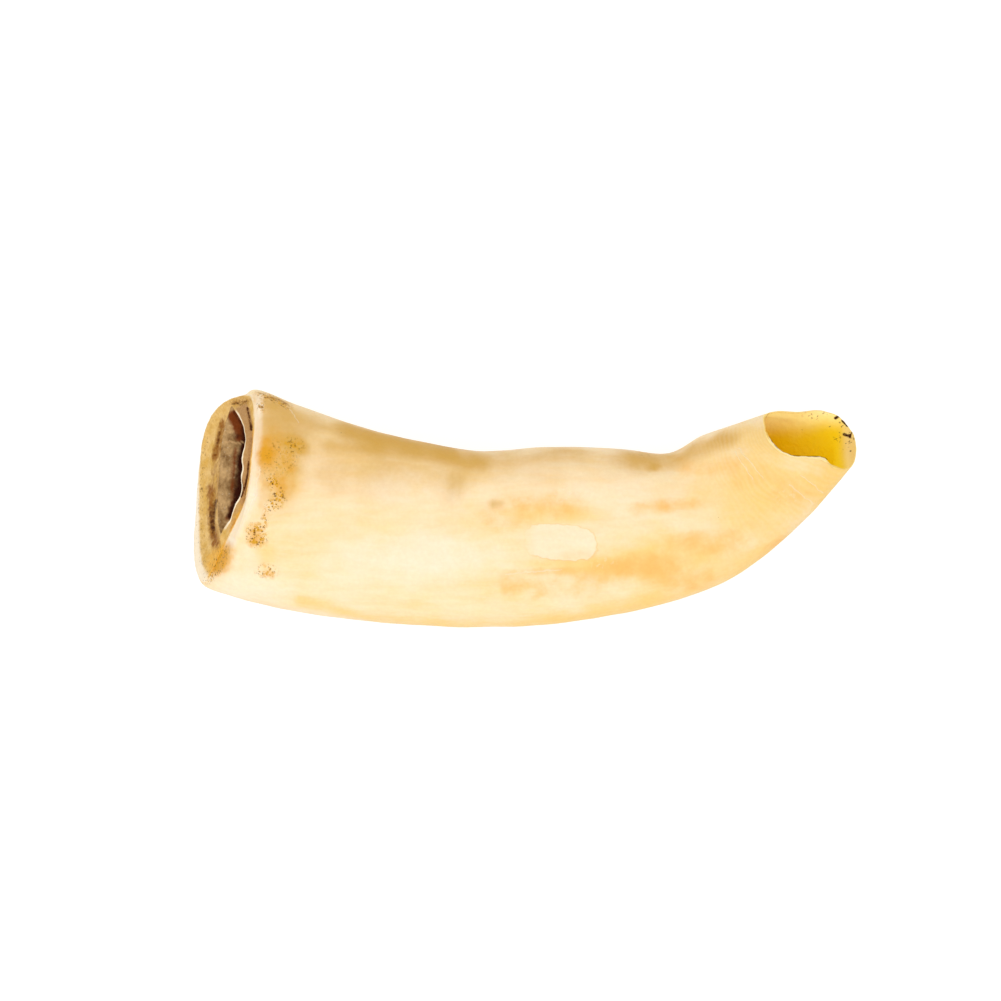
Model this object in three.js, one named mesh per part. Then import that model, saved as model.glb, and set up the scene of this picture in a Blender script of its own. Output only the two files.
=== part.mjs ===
// A young horse's incisor, whole and loose, lying on its side.
// One closed surface runs from the bottom of the cup in the crown, out over the grinding table and
// the crown's lip, along the curved body to the root's open rim, and back into the pulp cavity.
import * as THREE from "three";

// Driving dimensions, in millimetres. Seen from above, +X runs from the crown to the root and +Y
// points to the hollow edge of the curve. +Z is up, and the tooth rests on z = 0.

// Ovals from the crown's rim to the root's rim. Each reaches from a point on the hollow edge to one
// on the bulging edge, both at the height `side`. `base` and `top` are the heights of its underside
// and its upper side, which lie `under` and `upper` to the side of its middle, seen from above.
// `square` tells how square its quarters are, from 2 for an ellipse: hollow upper, bulge upper,
// bulge under, hollow under.
const OVALS = [
  { hollow: [-23.0, 9.65], bulge: [-27.15, -6.35], base: 0.7, side: 6.8, top: 10.4, upper: [1.5, -1.25], under: [-2.6, 2.3], square: [1.6, 1.8, 1.6, 2.1] },
  { hollow: [-22.25, 9.9], bulge: [-26.3, -6.95], base: 0.35, side: 6.7, top: 10.9, upper: [1.45, -1.0], under: [-2.35, 1.35], square: [2.0, 2.1, 2.0, 1.9] },
  { hollow: [-19.0, 8.55], bulge: [-21.1, -8.4], base: 0.1, side: 6.4, top: 11.3, upper: [0.85, -0.4], under: [-1.35, 0.85], square: [2.3, 2.3, 2.3, 2.3] },
  { hollow: [-13.9, 6.85], bulge: [-15.2, -9.4], base: -0.05, side: 6.0, top: 11.4, upper: [0.35, 0], under: [-0.4, 0], square: [2.4, 2.4, 2.4, 2.4] },
  { hollow: [-8.85, 5.6], bulge: [-9.3, -9.9], base: -0.2, side: 5.8, top: 11.3, upper: [0, 0], under: [0, 0], square: [2.4, 2.4, 2.5, 2.5] },
  { hollow: [-3.8, 4.8], bulge: [-3.8, -10.1], base: -0.2, side: 5.6, top: 11.1, upper: [0, 0], under: [0, 0], square: [2.4, 2.4, 2.5, 2.5] },
  { hollow: [2.1, 5.1], bulge: [2.95, -9.75], base: -0.2, side: 5.4, top: 10.9, upper: [0, 0], under: [0, 0], square: [2.4, 2.4, 2.5, 2.5] },
  { hollow: [8.0, 4.95], bulge: [9.7, -8.65], base: -0.1, side: 5.3, top: 10.5, upper: [0, 0], under: [0, 0], square: [2.3, 2.3, 2.5, 2.5] },
  { hollow: [12.05, 4.6], bulge: [16.0, -6.7], base: 0.15, side: 5.2, top: 10.0, upper: [-0.15, -0.15], under: [0.15, 0.15], square: [2.2, 2.2, 2.4, 2.4] },
  { hollow: [14.95, 6.05], bulge: [20.25, -4.0], base: 0.5, side: 5.1, top: 9.5, upper: [-0.5, -0.65], under: [0.4, 0.35], square: [2.2, 2.2, 2.2, 2.2] },
  { hollow: [17.85, 7.05], bulge: [24.2, -0.4], base: 0.9, side: 5.0, top: 9.15, upper: [-0.85, -1.25], under: [0.75, 0.85], square: [2.3, 2.2, 2.1, 1.9] },
  { hollow: [20.15, 7.65], bulge: [27.9, 4.0], base: 1.3, side: 5.0, top: 9.0, upper: [-1.15, -1.8], under: [1.25, 2.2], square: [2.4, 2.3, 2.0, 1.6] },
];
const FLOOR = 0; // the underside is worn flat where it would pass below this height

// The rims of the crown and the root and the edge of the cup, seen from above. Each starts at the
// hollow edge and goes round over the upper side to the bulging edge, and back by the underside.
const CROWN_RIM = [
  [-23.45, 9.65], [-22.9, 9.15], [-22.75, 7.05], [-22.95, 4.75],
  [-23.15, 2.55], [-23.6, 0.3], [-24.45, -1.65], [-25.55, -3.75],
  [-26.8, -6.2], [-27.6, -5.7], [-27.95, -3.9], [-27.85, -0.8],
  [-27.6, 2.85], [-27.15, 6.1], [-26.3, 8.05], [-24.95, 9.25],
];
const CUP_EDGE = [
  [-24.7, 8.5], [-24.05, 7.7], [-23.55, 6.55], [-23.55, 5.1],
  [-23.75, 3.4], [-23.7, 1.65], [-24.2, 0.4], [-24.8, -0.9],
  [-25.3, -2.4], [-25.7, -1.8], [-25.8, -0.55], [-25.85, 1.15],
  [-25.85, 3.0], [-25.75, 4.95], [-25.55, 6.55], [-25.15, 7.8],
];
const ROOT_RIM = [
  [20.2, 7.75], [20.2, 6.7], [20.5, 5.7], [21.35, 4.75],
  [22.6, 4.2], [24.2, 4.0], [25.55, 3.8], [27.15, 2.95],
  [27.85, 3.5], [28.05, 4.75], [27.9, 6.05], [27.25, 7.1],
  [26.4, 7.85], [24.9, 8.25], [23.2, 8.1], [21.35, 8.15],
];
const RIM_FADE = 0.12; // the share of the tooth over which a rim's own shape fades into the ovals

// The cup's edge lies in a sloping plane, which rises by `slope` for each millimetre of X and Y.
const TABLE_PLANE = { middle: [-25.3, 2.35], height: 6.0, slope: [2.02, -0.39] };

// A soft ridge along the upper side, near the hollow edge, which fades out along the body.
const RIDGE = { turn: 0.85, width: 0.2, height: 0.3, ends: 0.45 };
// A shallow groove along the underside, as on the lip side of a horse's incisor.
const GROOVE = { turn: 4.3, width: 0.22, depth: 0.3, starts: 0.05, ends: 0.8 };

// The grinding table, from its lip of outer enamel in to the edge of the cup. `share` is the way
// from rim to cup. `far` and `near` are the heights over the table's plane on the underside's half
// and on the upper side's half, where the cup's own enamel stands proud.
const TABLE = [
  { share: 0.05, far: 0.18, near: 0.2 },
  { share: 0.12, far: 0.26, near: 0.25 },
  { share: 0.22, far: 0.08, near: -0.15 },
  { share: 0.36, far: -0.12, near: -0.08 },
  { share: 0.52, far: -0.18, near: 0.05 },
  { share: 0.66, far: -0.2, near: 0.15 },
  { share: 0.77, far: -0.2, near: 0.25 },
  { share: 0.88, far: -0.02, near: 0.35 },
  { share: 0.96, far: 0.1, near: 0.4 },
];
// The dental star: a thin brown trough in the table, on the far side of the cup.
const STAR = { share: 0.77, width: 0.08, depth: 0.35, from: 3.3, to: 5.6 };

// The cup, ring by ring going in. `share` is the way from the cup's edge to its deepest line, which
// runs between two points of the table's plane, and `deep` is the depth along the tooth.
const CUP_LINE = { hollowEnd: [-24.2, 6.8], bulgeEnd: [-24.9, -0.8] };
const CUP = [
  { share: 0.0, deep: 0.0 },
  { share: 0.16, deep: 0.35 },
  { share: 0.29, deep: 0.75 },
  { share: 0.42, deep: 1.3 },
  { share: 0.56, deep: 2.4 },
  { share: 0.7, deep: 4.2 },
  { share: 0.84, deep: 6.4 },
];
const CUP_DEPTH = 7.4;

// The pulp cavity in the root. Its wall is thin on the upper side and thick on the bulging edge.
const WALL_THIN = 0.35;
const WALL_THICK = 1.05;
const CAVITY_END = 0.64; // how far along the tooth it reaches, from 1 at the root towards the crown
const CAVITY_END_SHARE = 0.35; // its width at the end, as a share of the tooth's own
// A chip out of the rim where the upper side meets the bulging edge.
const CHIP = { turn: 2.5, width: 0.16, depth: 0.01, reach: 0.05 };

// How finely the surface is divided.
const SIDES = 64;
const BODY_RINGS = 44;
const CAVITY_RINGS = 9;

const { lerp, smoothstep } = THREE.MathUtils;
const FULL_TURN = 2 * Math.PI;

// A bump of height 1 around a turn.
const bump = (turn, at, width) => Math.exp(-(((turn - at) / width) ** 2));

// Smooth curves through a measure of all the ovals, read by the share of the way along the tooth.
function curveThrough(measureOf) {
  const points = OVALS.map((oval) => new THREE.Vector3(...measureOf(oval)));
  return new THREE.CatmullRomCurve3(points, false, "catmullrom", 0.5);
}
const hollowEdge = curveThrough((oval) => [...oval.hollow, oval.side]);
const bulgeEdge = curveThrough((oval) => [...oval.bulge, oval.side]);
const uppers = curveThrough((oval) => [...oval.upper, oval.top]);
const unders = curveThrough((oval) => [...oval.under, oval.base]);
const upperSquares = curveThrough((oval) => [oval.square[0], oval.square[1], 0]);
const underSquares = curveThrough((oval) => [oval.square[3], oval.square[2], 0]);

// A closed smooth outline seen from above, read by the turn.
function outline(points) {
  const corners = points.map(([x, y]) => new THREE.Vector3(x, y, 0));
  const curve = new THREE.CatmullRomCurve3(corners, true, "catmullrom", 0.5);
  return (turn) => curve.getPoint(turn / FULL_TURN);
}
const crownOutline = outline(CROWN_RIM);
const cupOutline = outline(CUP_EDGE);
const rootOutline = outline(ROOT_RIM);

// A point of the table's plane, given where it is seen from above.
function onTable(point) {
  const { middle, height, slope } = TABLE_PLANE;
  const rise = slope[0] * (point.x - middle[0]) + slope[1] * (point.y - middle[1]);
  return new THREE.Vector3(point.x, point.y, height + rise);
}

const middleAt = (along) => hollowEdge.getPoint(along).add(bulgeEdge.getPoint(along)).multiplyScalar(0.5);

// The way out of the table and the way into the cup.
const tableOut = new THREE.Vector3(-TABLE_PLANE.slope[0], -TABLE_PLANE.slope[1], 1).normalize();
const cupInward = middleAt(0.12).sub(middleAt(0)).normalize();

// The oval's point at `along`. Turn 0 is the hollow edge, and a quarter turn is the upper side.
function ovalPoint(along, turn) {
  const across = Math.cos(turn);
  const isUpper = Math.sin(turn) >= 0;
  const squares = (isUpper ? upperSquares : underSquares).getPoint(along);
  const power = 2 / (across >= 0 ? squares.x : squares.y);
  const middle = middleAt(along);
  const toEdge = hollowEdge.getPoint(along).sub(middle);
  const toSide = (isUpper ? uppers : unders).getPoint(along);
  toSide.z -= middle.z;
  return middle
    .addScaledVector(toEdge, Math.sign(across) * Math.abs(across) ** power)
    .addScaledVector(toSide, Math.abs(Math.sin(turn)) ** power);
}

// How far a point is pulled over to its end's rim, from 0 in the body to 1 at the rim.
const pullTo = (distance) => Math.max(1 - distance / RIM_FADE, 0) ** 2;

// The shift from an end's oval to the outline of its rim, seen from above.
const levelShift = (outlinePoint, oval) => outlinePoint.sub(oval).setZ(0);

// The tooth's own skin: the ovals drawn over to the rims, ridged, grooved and worn flat below.
function skin(along, turn) {
  const crownShift = levelShift(crownOutline(turn), ovalPoint(0, turn));
  const rootShift = levelShift(rootOutline(turn), ovalPoint(1, turn));
  const point = ovalPoint(along, turn)
    .addScaledVector(crownShift, pullTo(along))
    .addScaledVector(rootShift, pullTo(1 - along));
  const middle = middleAt(along);
  const spoke = point.sub(middle);
  const ridgeFade = smoothstep(along, 0, 0.05) * (1 - smoothstep(along, 0.05, RIDGE.ends));
  const grooveFade = smoothstep(along, 0, GROOVE.starts) * (1 - smoothstep(along, GROOVE.ends, 1));
  const relief =
    RIDGE.height * bump(turn, RIDGE.turn, RIDGE.width) * ridgeFade -
    GROOVE.depth * bump(turn, GROOVE.turn, GROOVE.width) * grooveFade;
  spoke.setLength(spoke.length() + relief);
  const placed = middle.add(spoke);
  placed.z = Math.max(placed.z, FLOOR);
  return placed;
}

// How much a turn belongs to the upper side's half of the table, from 0 to 1.
const nearness = (turn) => smoothstep(Math.sin(turn), -0.6, 0.8);

// A ring of the table, part of the way from the rim to the cup's edge.
function tablePoint(ring, turn) {
  const alongStar = smoothstep(turn, STAR.from, STAR.from + 0.5) * (1 - smoothstep(turn, STAR.to - 0.5, STAR.to));
  const star = STAR.depth * bump(ring.share, STAR.share, STAR.width) * alongStar;
  return skin(0, turn)
    .lerp(onTable(cupOutline(turn)), ring.share)
    .addScaledVector(tableOut, lerp(ring.far, ring.near, nearness(turn)) - star);
}

// The cup's deepest line, in the table's plane.
const cupHollowEnd = onTable(new THREE.Vector3(...CUP_LINE.hollowEnd, 0));
const cupBulgeEnd = onTable(new THREE.Vector3(...CUP_LINE.bulgeEnd, 0));

// A ring of the cup's wall.
function cupPoint(ring, turn) {
  const line = cupBulgeEnd.clone().lerp(cupHollowEnd, (1 + Math.cos(turn)) / 2);
  const lipHeight = lerp(TABLE.at(-1).far, TABLE.at(-1).near, nearness(turn));
  return onTable(cupOutline(turn))
    .lerp(line, ring.share)
    .addScaledVector(tableOut, lipHeight * (1 - ring.share) * 0.8)
    .addScaledVector(cupInward, ring.deep);
}

// The skin near the root, drawn back where the rim is chipped.
function bodyPoint(along, turn) {
  const atRim = smoothstep(along, 1 - CHIP.reach, 1);
  return skin(along - CHIP.depth * bump(turn, CHIP.turn, CHIP.width) * atRim, turn);
}

// The inner wall of the root, from a depth of 0 at the rim to 1 at the cavity's end.
function cavityPoint(depth, turn) {
  const along = lerp(1, CAVITY_END, depth);
  const middle = middleAt(along);
  const spoke = bodyPoint(along, turn).sub(middle);
  const wall = lerp(WALL_THIN, WALL_THICK, smoothstep(-Math.cos(turn), 0.2, 1));
  const open = 1 - wall / spoke.length();
  return middle.addScaledVector(spoke, lerp(open, CAVITY_END_SHARE, depth ** 1.5));
}

// All the rings from the cup's bottom to the cavity's end, each a function of the turn.
function toothRings() {
  const cup = CUP.map((ring) => (turn) => cupPoint(ring, turn)).reverse();
  const grinding = TABLE.map((ring) => (turn) => tablePoint(ring, turn)).reverse();
  const ringsOf = (count, pointAt) =>
    Array.from({ length: count + 1 }, (_, i) => (turn) => pointAt(i / count, turn));
  return [...cup, ...grinding, ...ringsOf(BODY_RINGS, bodyPoint), ...ringsOf(CAVITY_RINGS, cavityPoint)];
}

// Joins the rings with quads and closes each end with a fan around its pole.
function closedSurface(rings, firstPole, lastPole) {
  const positions = [firstPole, lastPole];
  const cornerOf = (ring, side) => 2 + ring * SIDES + (side % SIDES);
  for (const ring of rings)
    for (let side = 0; side < SIDES; side++) positions.push(ring((side / SIDES) * FULL_TURN));
  const faces = [];
  for (let side = 0; side < SIDES; side++) {
    faces.push(0, cornerOf(0, side + 1), cornerOf(0, side));
    faces.push(1, cornerOf(rings.length - 1, side), cornerOf(rings.length - 1, side + 1));
    for (let ring = 0; ring + 1 < rings.length; ring++) {
      const [here, beyond] = [cornerOf(ring, side), cornerOf(ring + 1, side)];
      const [hereNext, beyondNext] = [cornerOf(ring, side + 1), cornerOf(ring + 1, side + 1)];
      faces.push(here, beyondNext, beyond, here, hereNext, beyondNext);
    }
  }
  const geometry = new THREE.BufferGeometry().setFromPoints(positions);
  geometry.setIndex(faces);
  geometry.computeVertexNormals();
  return geometry;
}

// Moves the geometry so that the middle of its box is over the origin.
function centreOverOrigin(geometry) {
  geometry.computeBoundingBox();
  const middle = geometry.boundingBox.getCenter(new THREE.Vector3());
  return geometry.translate(-middle.x, -middle.y, 0);
}

function makeTooth() {
  const cupBottom = cupBulgeEnd.clone().lerp(cupHollowEnd, 0.5).addScaledVector(cupInward, CUP_DEPTH);
  const cavityEnd = middleAt(CAVITY_END - 0.02);
  const geometry = centreOverOrigin(closedSurface(toothRings(), cupBottom, cavityEnd));
  const ivory = new THREE.MeshStandardMaterial({ color: 0xf3dcae, roughness: 0.4, metalness: 0 });
  const mesh = new THREE.Mesh(geometry, ivory);
  mesh.name = "tooth";
  return mesh;
}

const horseTooth = new THREE.Group();
horseTooth.add(makeTooth());

export default horseTooth;
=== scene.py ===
"""A young horse's incisor lying on its side: its fine surface, finishes, floor, light and camera.

The tooth is one closed surface. It runs from the bottom of the cup in the crown, over the grinding
table and the lip, along the skin of the body to the root's open rim, and back into the pulp cavity.
Shapes are worked out in millimetres in the tooth's own frame and placed on the CAD model's box.
"""
import logging
import math
from dataclasses import dataclass, field
from enum import Enum, IntEnum
from typing import Any, Sequence

import bpy
import numpy as np
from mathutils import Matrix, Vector, noise


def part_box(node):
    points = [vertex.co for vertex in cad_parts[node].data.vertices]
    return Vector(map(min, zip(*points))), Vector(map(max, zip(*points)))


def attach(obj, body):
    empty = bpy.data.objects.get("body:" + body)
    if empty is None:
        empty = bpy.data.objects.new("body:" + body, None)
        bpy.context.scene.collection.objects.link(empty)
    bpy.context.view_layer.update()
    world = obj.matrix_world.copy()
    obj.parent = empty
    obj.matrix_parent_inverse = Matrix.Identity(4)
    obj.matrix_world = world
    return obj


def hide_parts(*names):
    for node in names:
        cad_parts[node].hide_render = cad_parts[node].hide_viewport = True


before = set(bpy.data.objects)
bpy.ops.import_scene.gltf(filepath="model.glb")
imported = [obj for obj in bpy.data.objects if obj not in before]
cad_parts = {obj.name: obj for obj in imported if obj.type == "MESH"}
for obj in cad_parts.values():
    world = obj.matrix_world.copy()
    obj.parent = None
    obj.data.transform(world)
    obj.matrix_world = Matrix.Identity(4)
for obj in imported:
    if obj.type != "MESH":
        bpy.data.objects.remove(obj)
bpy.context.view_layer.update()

log = logging.getLogger("tooth")

Array = np.ndarray
Socket = bpy.types.NodeSocket
Material = bpy.types.Material
Place = tuple[float, float]
Triple = tuple[float, float, float]
Line = tuple[float, float, float, float]
Span = tuple[Place, Place]
MM = 0.001
FULL_TURN = 2 * math.pi

# Places that are seen from above are given by column and row of the square view, 1001 cells wide.
VIEW_CELLS = 1001
CELL = 0.0843373
VIEW_MIDDLE: Place = (525.0, 508.5)


def to_view(points: Array) -> Array:
    """Tells where points in millimetres are seen from above.

    Args:
        points: An array whose last axis starts with x and y.

    Returns:
        The column and row of each point in the view.
    """
    column = points[..., 0] / CELL + VIEW_MIDDLE[0]
    row = VIEW_MIDDLE[1] - points[..., 1] / CELL
    return np.stack([column, row], axis=-1)


def from_view(seen: Array) -> Array:
    """Turns columns and rows of the view into x and y in millimetres."""
    right, up = seen[..., 0] - VIEW_MIDDLE[0], VIEW_MIDDLE[1] - seen[..., 1]
    return np.stack([right * CELL, up * CELL], axis=-1)


def smoothstep(value: Array | float, low: float, high: float) -> Array:
    """Rises smoothly from 0 at low to 1 at high."""
    share = np.clip((np.asarray(value, float) - low) / (high - low), 0.0, 1.0)
    return share * share * (3.0 - 2.0 * share)


def plateau(value: Array, low: Place, high: Place) -> Array:
    """Rises from 0 to 1 within low and falls back to 0 within high."""
    return smoothstep(value, *low) * (1.0 - smoothstep(value, *high))


def bump(value: Array, at: float, width: float) -> Array:
    """A soft bump of height 1 around one value."""
    return np.exp(-(((value - at) / width) ** 2))


def mix(first: Any, second: Any, share: Any) -> Any:
    """The value part of the way from first to second."""
    return first + (second - first) * share


def wander(points: Array, size: float, seed: float) -> Array:
    """Smooth noise at points in millimetres.

    Args:
        points: An array of points, x, y and z on its last axis.
        size: The size of the noise's features, in millimetres.
        seed: Moves the noise, so that several of them differ.

    Returns:
        A value from about -1 to 1 for each point.
    """
    flat = points.reshape(-1, 3) / size + seed
    values = [noise.noise(Vector(row)) for row in flat]
    return np.array(values).reshape(points.shape[:-1])


def unevenness(points: Array, layers: Sequence[Triple]) -> Array:
    """Adds up layers of noise, each given by its height, the size of its features and its seed."""
    return sum(height * wander(points, size, seed) for height, size, seed in layers)


class Zone(IntEnum):
    """The parts of the surface. Each has its own finish."""

    CUP = 0
    TABLE = 1
    SKIN = 2
    PULP = 3


class Mark(Enum):
    """What may be laid on the surface, each a value from 0 to 1 at every point."""

    HONEY = "honey"
    # Stain; along the skin's hollow edge it is partly painted shade.
    STAIN_AND_SHADE = "stain_and_shade"
    AMBER = "amber"
    BLUSH = "blush"
    # Pale colour; in places also painted light: a glint on the skin and the pulp rim's near face.
    PALE_AND_PAINTED_LIGHT = "pale"
    SPECKS = "specks"
    GRIME_AND_SHADE = "grime_and_shade"
    # Dark marks; in the pulp also a painted shade line inside the near rim.
    PITS = "pits"
    # Deep colour; in the cup partly painted shade, and in the pulp the straw where it is low is partly
    # painted light.
    DEEP = "deep"
    ALONG = "along"


class Side(Enum):
    """The half of the tooth that a mark lies on."""

    UPPER = "upper"
    UNDER = "under"


@dataclass(frozen=True)
class Patch:
    """A soft oval area. Its place and size are as seen from above, in cells of the view."""

    at: Place
    reach: Place
    strength: float = 1.0
    turned: float = 0.0
    soft: float = 0.6
    side: Side = Side.UPPER

    def weigh(self, seen: Array) -> Array:
        """Tells how much of the patch lies at each point.

        Args:
            seen: Columns and rows in the view.

        Returns:
            A value from 0 to the patch's strength for each point.
        """
        away = seen - np.array(self.at)
        cos, sin = math.cos(math.radians(self.turned)), math.sin(math.radians(self.turned))
        lengthwise = (away[..., 0] * cos + away[..., 1] * sin) / self.reach[0]
        crosswise = (away[..., 1] * cos - away[..., 0] * sin) / self.reach[1]
        distance = np.hypot(lengthwise, crosswise)
        return self.strength * (1.0 - smoothstep(distance, 1.0 - self.soft, 1.0 + self.soft))


@dataclass(frozen=True)
class Stroke:
    """A soft line through places seen from above, in cells of the view."""

    through: tuple[Place, ...]
    width: float
    strength: float = 1.0
    core: float = 0.3
    side: Side = Side.UPPER

    def weigh(self, seen: Array) -> Array:
        """Tells how much of the line lies at each point.

        Args:
            seen: Columns and rows in the view.

        Returns:
            A value from 0 to the line's strength for each point.
        """
        nearest = np.full(seen.shape[:-1], 1e9)
        for start, end in zip(self.through[:-1], self.through[1:]):
            begin = np.array(start, float)
            run = np.array(end, float) - begin
            share = np.clip(((seen - begin) @ run) / (run @ run), 0.0, 1.0)
            gap = seen - begin - share[..., None] * run
            nearest = np.minimum(nearest, np.hypot(gap[..., 0], gap[..., 1]))
        return self.strength * (1.0 - smoothstep(nearest / self.width, self.core, 1.0))


Marks = dict[Mark, tuple[Patch | Stroke, ...]]


def lay(marks: Sequence[Patch | Stroke], seen: Array, upper: Array | float = 1.0) -> Array:
    """Lays marks over each other.

    Args:
        marks: The patches and strokes.
        seen: Columns and rows in the view.
        upper: How much each point belongs to the upper side, from 0 to 1.

    Returns:
        What they add up to, from 0 to 1 for each point.
    """
    left = np.ones(seen.shape[:-1])
    for mark in marks:
        there = upper if mark.side is Side.UPPER else 1.0 - upper
        left = left * (1.0 - mark.weigh(seen) * there)
    return 1.0 - left


def lay_all(marks: Marks, seen: Array, upper: Array | float = 1.0) -> dict[Mark, Array]:
    """Lays the patches and strokes of each mark."""
    return {mark: lay(laid, seen, upper) for mark, laid in marks.items()}


def smooth_curve(values: Array, share: Array) -> Array:
    """Reads a smooth curve through rows of values.

    Args:
        values: One row for each point that the curve passes.
        share: The share of the way along, from 0 to 1, in any shape.

    Returns:
        The curve's values, on one more axis than share has.
    """
    steps = len(values) - 1
    where = np.clip(share, 0.0, 1.0) * steps
    first = np.minimum(where.astype(int), steps - 1)
    part = (where - first)[..., None]
    ends = np.vstack([2 * values[0] - values[1], values, 2 * values[-1] - values[-2]])
    return hermite(ends[first], ends[first + 1], ends[first + 2], ends[first + 3], part)


def closed_curve(points: Sequence[Place], turn: Array) -> Array:
    """Reads a closed smooth outline.

    Args:
        points: The places that it passes, evenly spaced by turn.
        turn: The turns to read it at, in any shape.

    Returns:
        The outline's x and y, on one more axis than turn has.
    """
    corners = np.array(points, float)
    count = len(corners)
    where = (turn / FULL_TURN) * count
    first = np.floor(where).astype(int)
    part = (where - first)[..., None]
    around = [corners[(first + step) % count] for step in (-1, 0, 1, 2)]
    return hermite(*around, part)


def hermite(before: Array, start: Array, end: Array, after: Array, part: Array) -> Array:
    """Reads a smooth curve between two of its points.

    Args:
        before: The point before the start.
        start: The point where this piece of the curve starts.
        end: The point where it ends.
        after: The point after the end.
        part: The part of the way from start to end.

    Returns:
        The curve's point there.
    """
    leave = 0.5 * (end - before)
    arrive = 0.5 * (after - start)
    square = -3 * start + 3 * end - 2 * leave - arrive
    cube = 2 * start - 2 * end + leave + arrive
    return start + leave * part + square * part**2 + cube * part**3


@dataclass
class Rings:
    """Rings of points on one part of the surface, with what is laid on them."""

    zone: Zone
    points: Array
    marks: dict[Mark, Array] = field(default_factory=dict)

    def laid(self, mark: Mark) -> Array:
        """The mark's value at every point, which is 0 where nothing was laid."""
        return self.marks.get(mark, np.zeros(self.points.shape[:2]))


@dataclass(frozen=True)
class Oval:
    """One oval of the body, in millimetres. Square says how square each of its quarters is."""

    hollow: Place
    bulge: Place
    heights: Triple
    upper: Place
    under: Place
    square: tuple[float, float, float, float]


# Where each of an oval's measures stands in its row.
HOLLOW, BULGE = slice(0, 2), slice(2, 4)
BASE, SIDE, TOP = 4, 5, 6
UPPER_LEAN, UNDER_LEAN, SQUARE = slice(7, 9), slice(9, 11), slice(11, 15)


@dataclass(frozen=True)
class Shape:
    """The tooth's own form: ovals from the crown to the root, drawn over to the rims of its ends.

    An oval's heights are those of its underside, its edges and its upper side. A reach is the shares
    of the way along the tooth between which something rises, and those between which it falls again.
    """

    ovals: tuple[Oval, ...] = (
        Oval((-23.0, 9.65), (-27.15, -6.35), (0.7, 6.8, 10.4), (1.5, -1.25), (-2.6, 2.3),
             (1.6, 1.8, 1.6, 2.1)),
        Oval((-22.25, 9.9), (-26.3, -6.95), (0.35, 6.7, 10.9), (1.45, -1.0), (-2.35, 1.35),
             (2.0, 2.1, 2.0, 1.9)),
        Oval((-19.0, 8.55), (-21.1, -8.4), (0.1, 6.4, 11.3), (0.85, -0.4), (-1.35, 0.85),
             (2.3, 2.3, 2.3, 2.3)),
        Oval((-13.9, 6.85), (-15.2, -9.4), (-0.05, 6.0, 11.4), (0.35, 0.0), (-0.4, 0.0),
             (2.4, 2.4, 2.4, 2.4)),
        Oval((-8.85, 5.6), (-9.3, -9.9), (-0.2, 5.8, 11.3), (0.0, 0.0), (0.0, 0.0),
             (2.4, 2.4, 2.5, 2.5)),
        Oval((-3.8, 4.8), (-3.8, -10.1), (-0.2, 5.6, 11.1), (0.0, 0.0), (0.0, 0.0),
             (2.4, 2.4, 2.5, 2.5)),
        Oval((2.1, 5.1), (2.95, -9.75), (-0.2, 5.4, 10.9), (0.0, 0.0), (0.0, 0.0),
             (2.4, 2.4, 2.5, 2.5)),
        Oval((8.0, 4.95), (9.7, -8.65), (-0.1, 5.3, 10.5), (0.0, 0.0), (0.0, 0.0),
             (2.3, 2.3, 2.5, 2.5)),
        Oval((12.05, 4.6), (16.0, -6.7), (0.15, 5.2, 10.0), (-0.15, -0.15), (0.15, 0.15),
             (2.2, 2.2, 2.4, 2.4)),
        Oval((14.95, 6.05), (20.25, -4.0), (0.5, 5.1, 9.5), (-0.5, -0.65), (0.4, 0.35),
             (2.2, 2.2, 2.2, 2.2)),
        Oval((17.85, 7.05), (24.2, -0.4), (0.9, 5.0, 9.15), (-0.85, -1.25), (0.75, 0.85),
             (2.3, 2.2, 2.1, 1.9)),
        Oval((20.15, 7.65), (27.9, 4.0), (1.3, 5.0, 9.0), (-1.15, -1.8), (1.25, 2.2),
             (2.4, 2.3, 2.0, 1.6)),
    )
    crown_rim: tuple[Place, ...] = (
        (-23.35, 9.5), (-22.85, 9.15), (-22.7, 7.05), (-22.85, 4.75),
        (-23.05, 2.55), (-23.55, 0.3), (-24.45, -1.65), (-25.55, -3.75),
        (-26.8, -6.2), (-27.6, -5.7), (-27.95, -3.9), (-27.85, -0.8),
        (-27.6, 2.85), (-27.15, 6.1), (-26.3, 8.0), (-24.95, 9.1),
    )
    root_rim: tuple[Place, ...] = (
        (20.2, 7.75), (20.2, 6.7), (20.5, 5.7), (21.35, 4.75),
        (22.6, 4.25), (24.2, 4.15), (25.55, 3.88), (27.1, 3.3),
        (27.75, 3.68), (28.05, 4.75), (27.9, 6.05), (27.25, 7.1),
        (26.4, 7.85), (24.9, 8.25), (23.2, 8.1), (21.35, 8.15),
    )
    rim_fade: float = 0.12
    notch_depth: float = 0.45
    notch_turns: Span = ((0.08, 0.24), (0.6, 1.1))
    notch_reach: Span = ((0.0, 0.03), (0.07, 0.13))
    ridge_height: float = 0.3
    ridge_turn: float = 0.85
    ridge_width: float = 0.2
    ridge_reach: Span = ((0.0, 0.05), (0.05, 0.45))
    groove_depth: float = 0.3
    groove_turn: float = 4.3
    groove_width: float = 0.22
    groove_reach: Span = ((0.0, 0.05), (0.8, 1.0))
    flat_edge: float = 0.15
    flat_sink: float = 0.025

    def measures(self, along: Array) -> Array:
        """All measures of the oval at each share of the way along the tooth."""
        rows = [(*o.hollow, *o.bulge, *o.heights, *o.upper, *o.under, *o.square) for o in self.ovals]
        return smooth_curve(np.array(rows), along)

    def middle(self, along: Array | float) -> Array:
        """Points of the tooth's middle line.

        Args:
            along: The share of the way along the tooth.

        Returns:
            The points, on one more axis.
        """
        rows = self.measures(np.asarray(along, float))
        plan = (rows[..., HOLLOW] + rows[..., BULGE]) / 2
        return np.concatenate([plan, rows[..., SIDE, None]], axis=-1)

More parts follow.
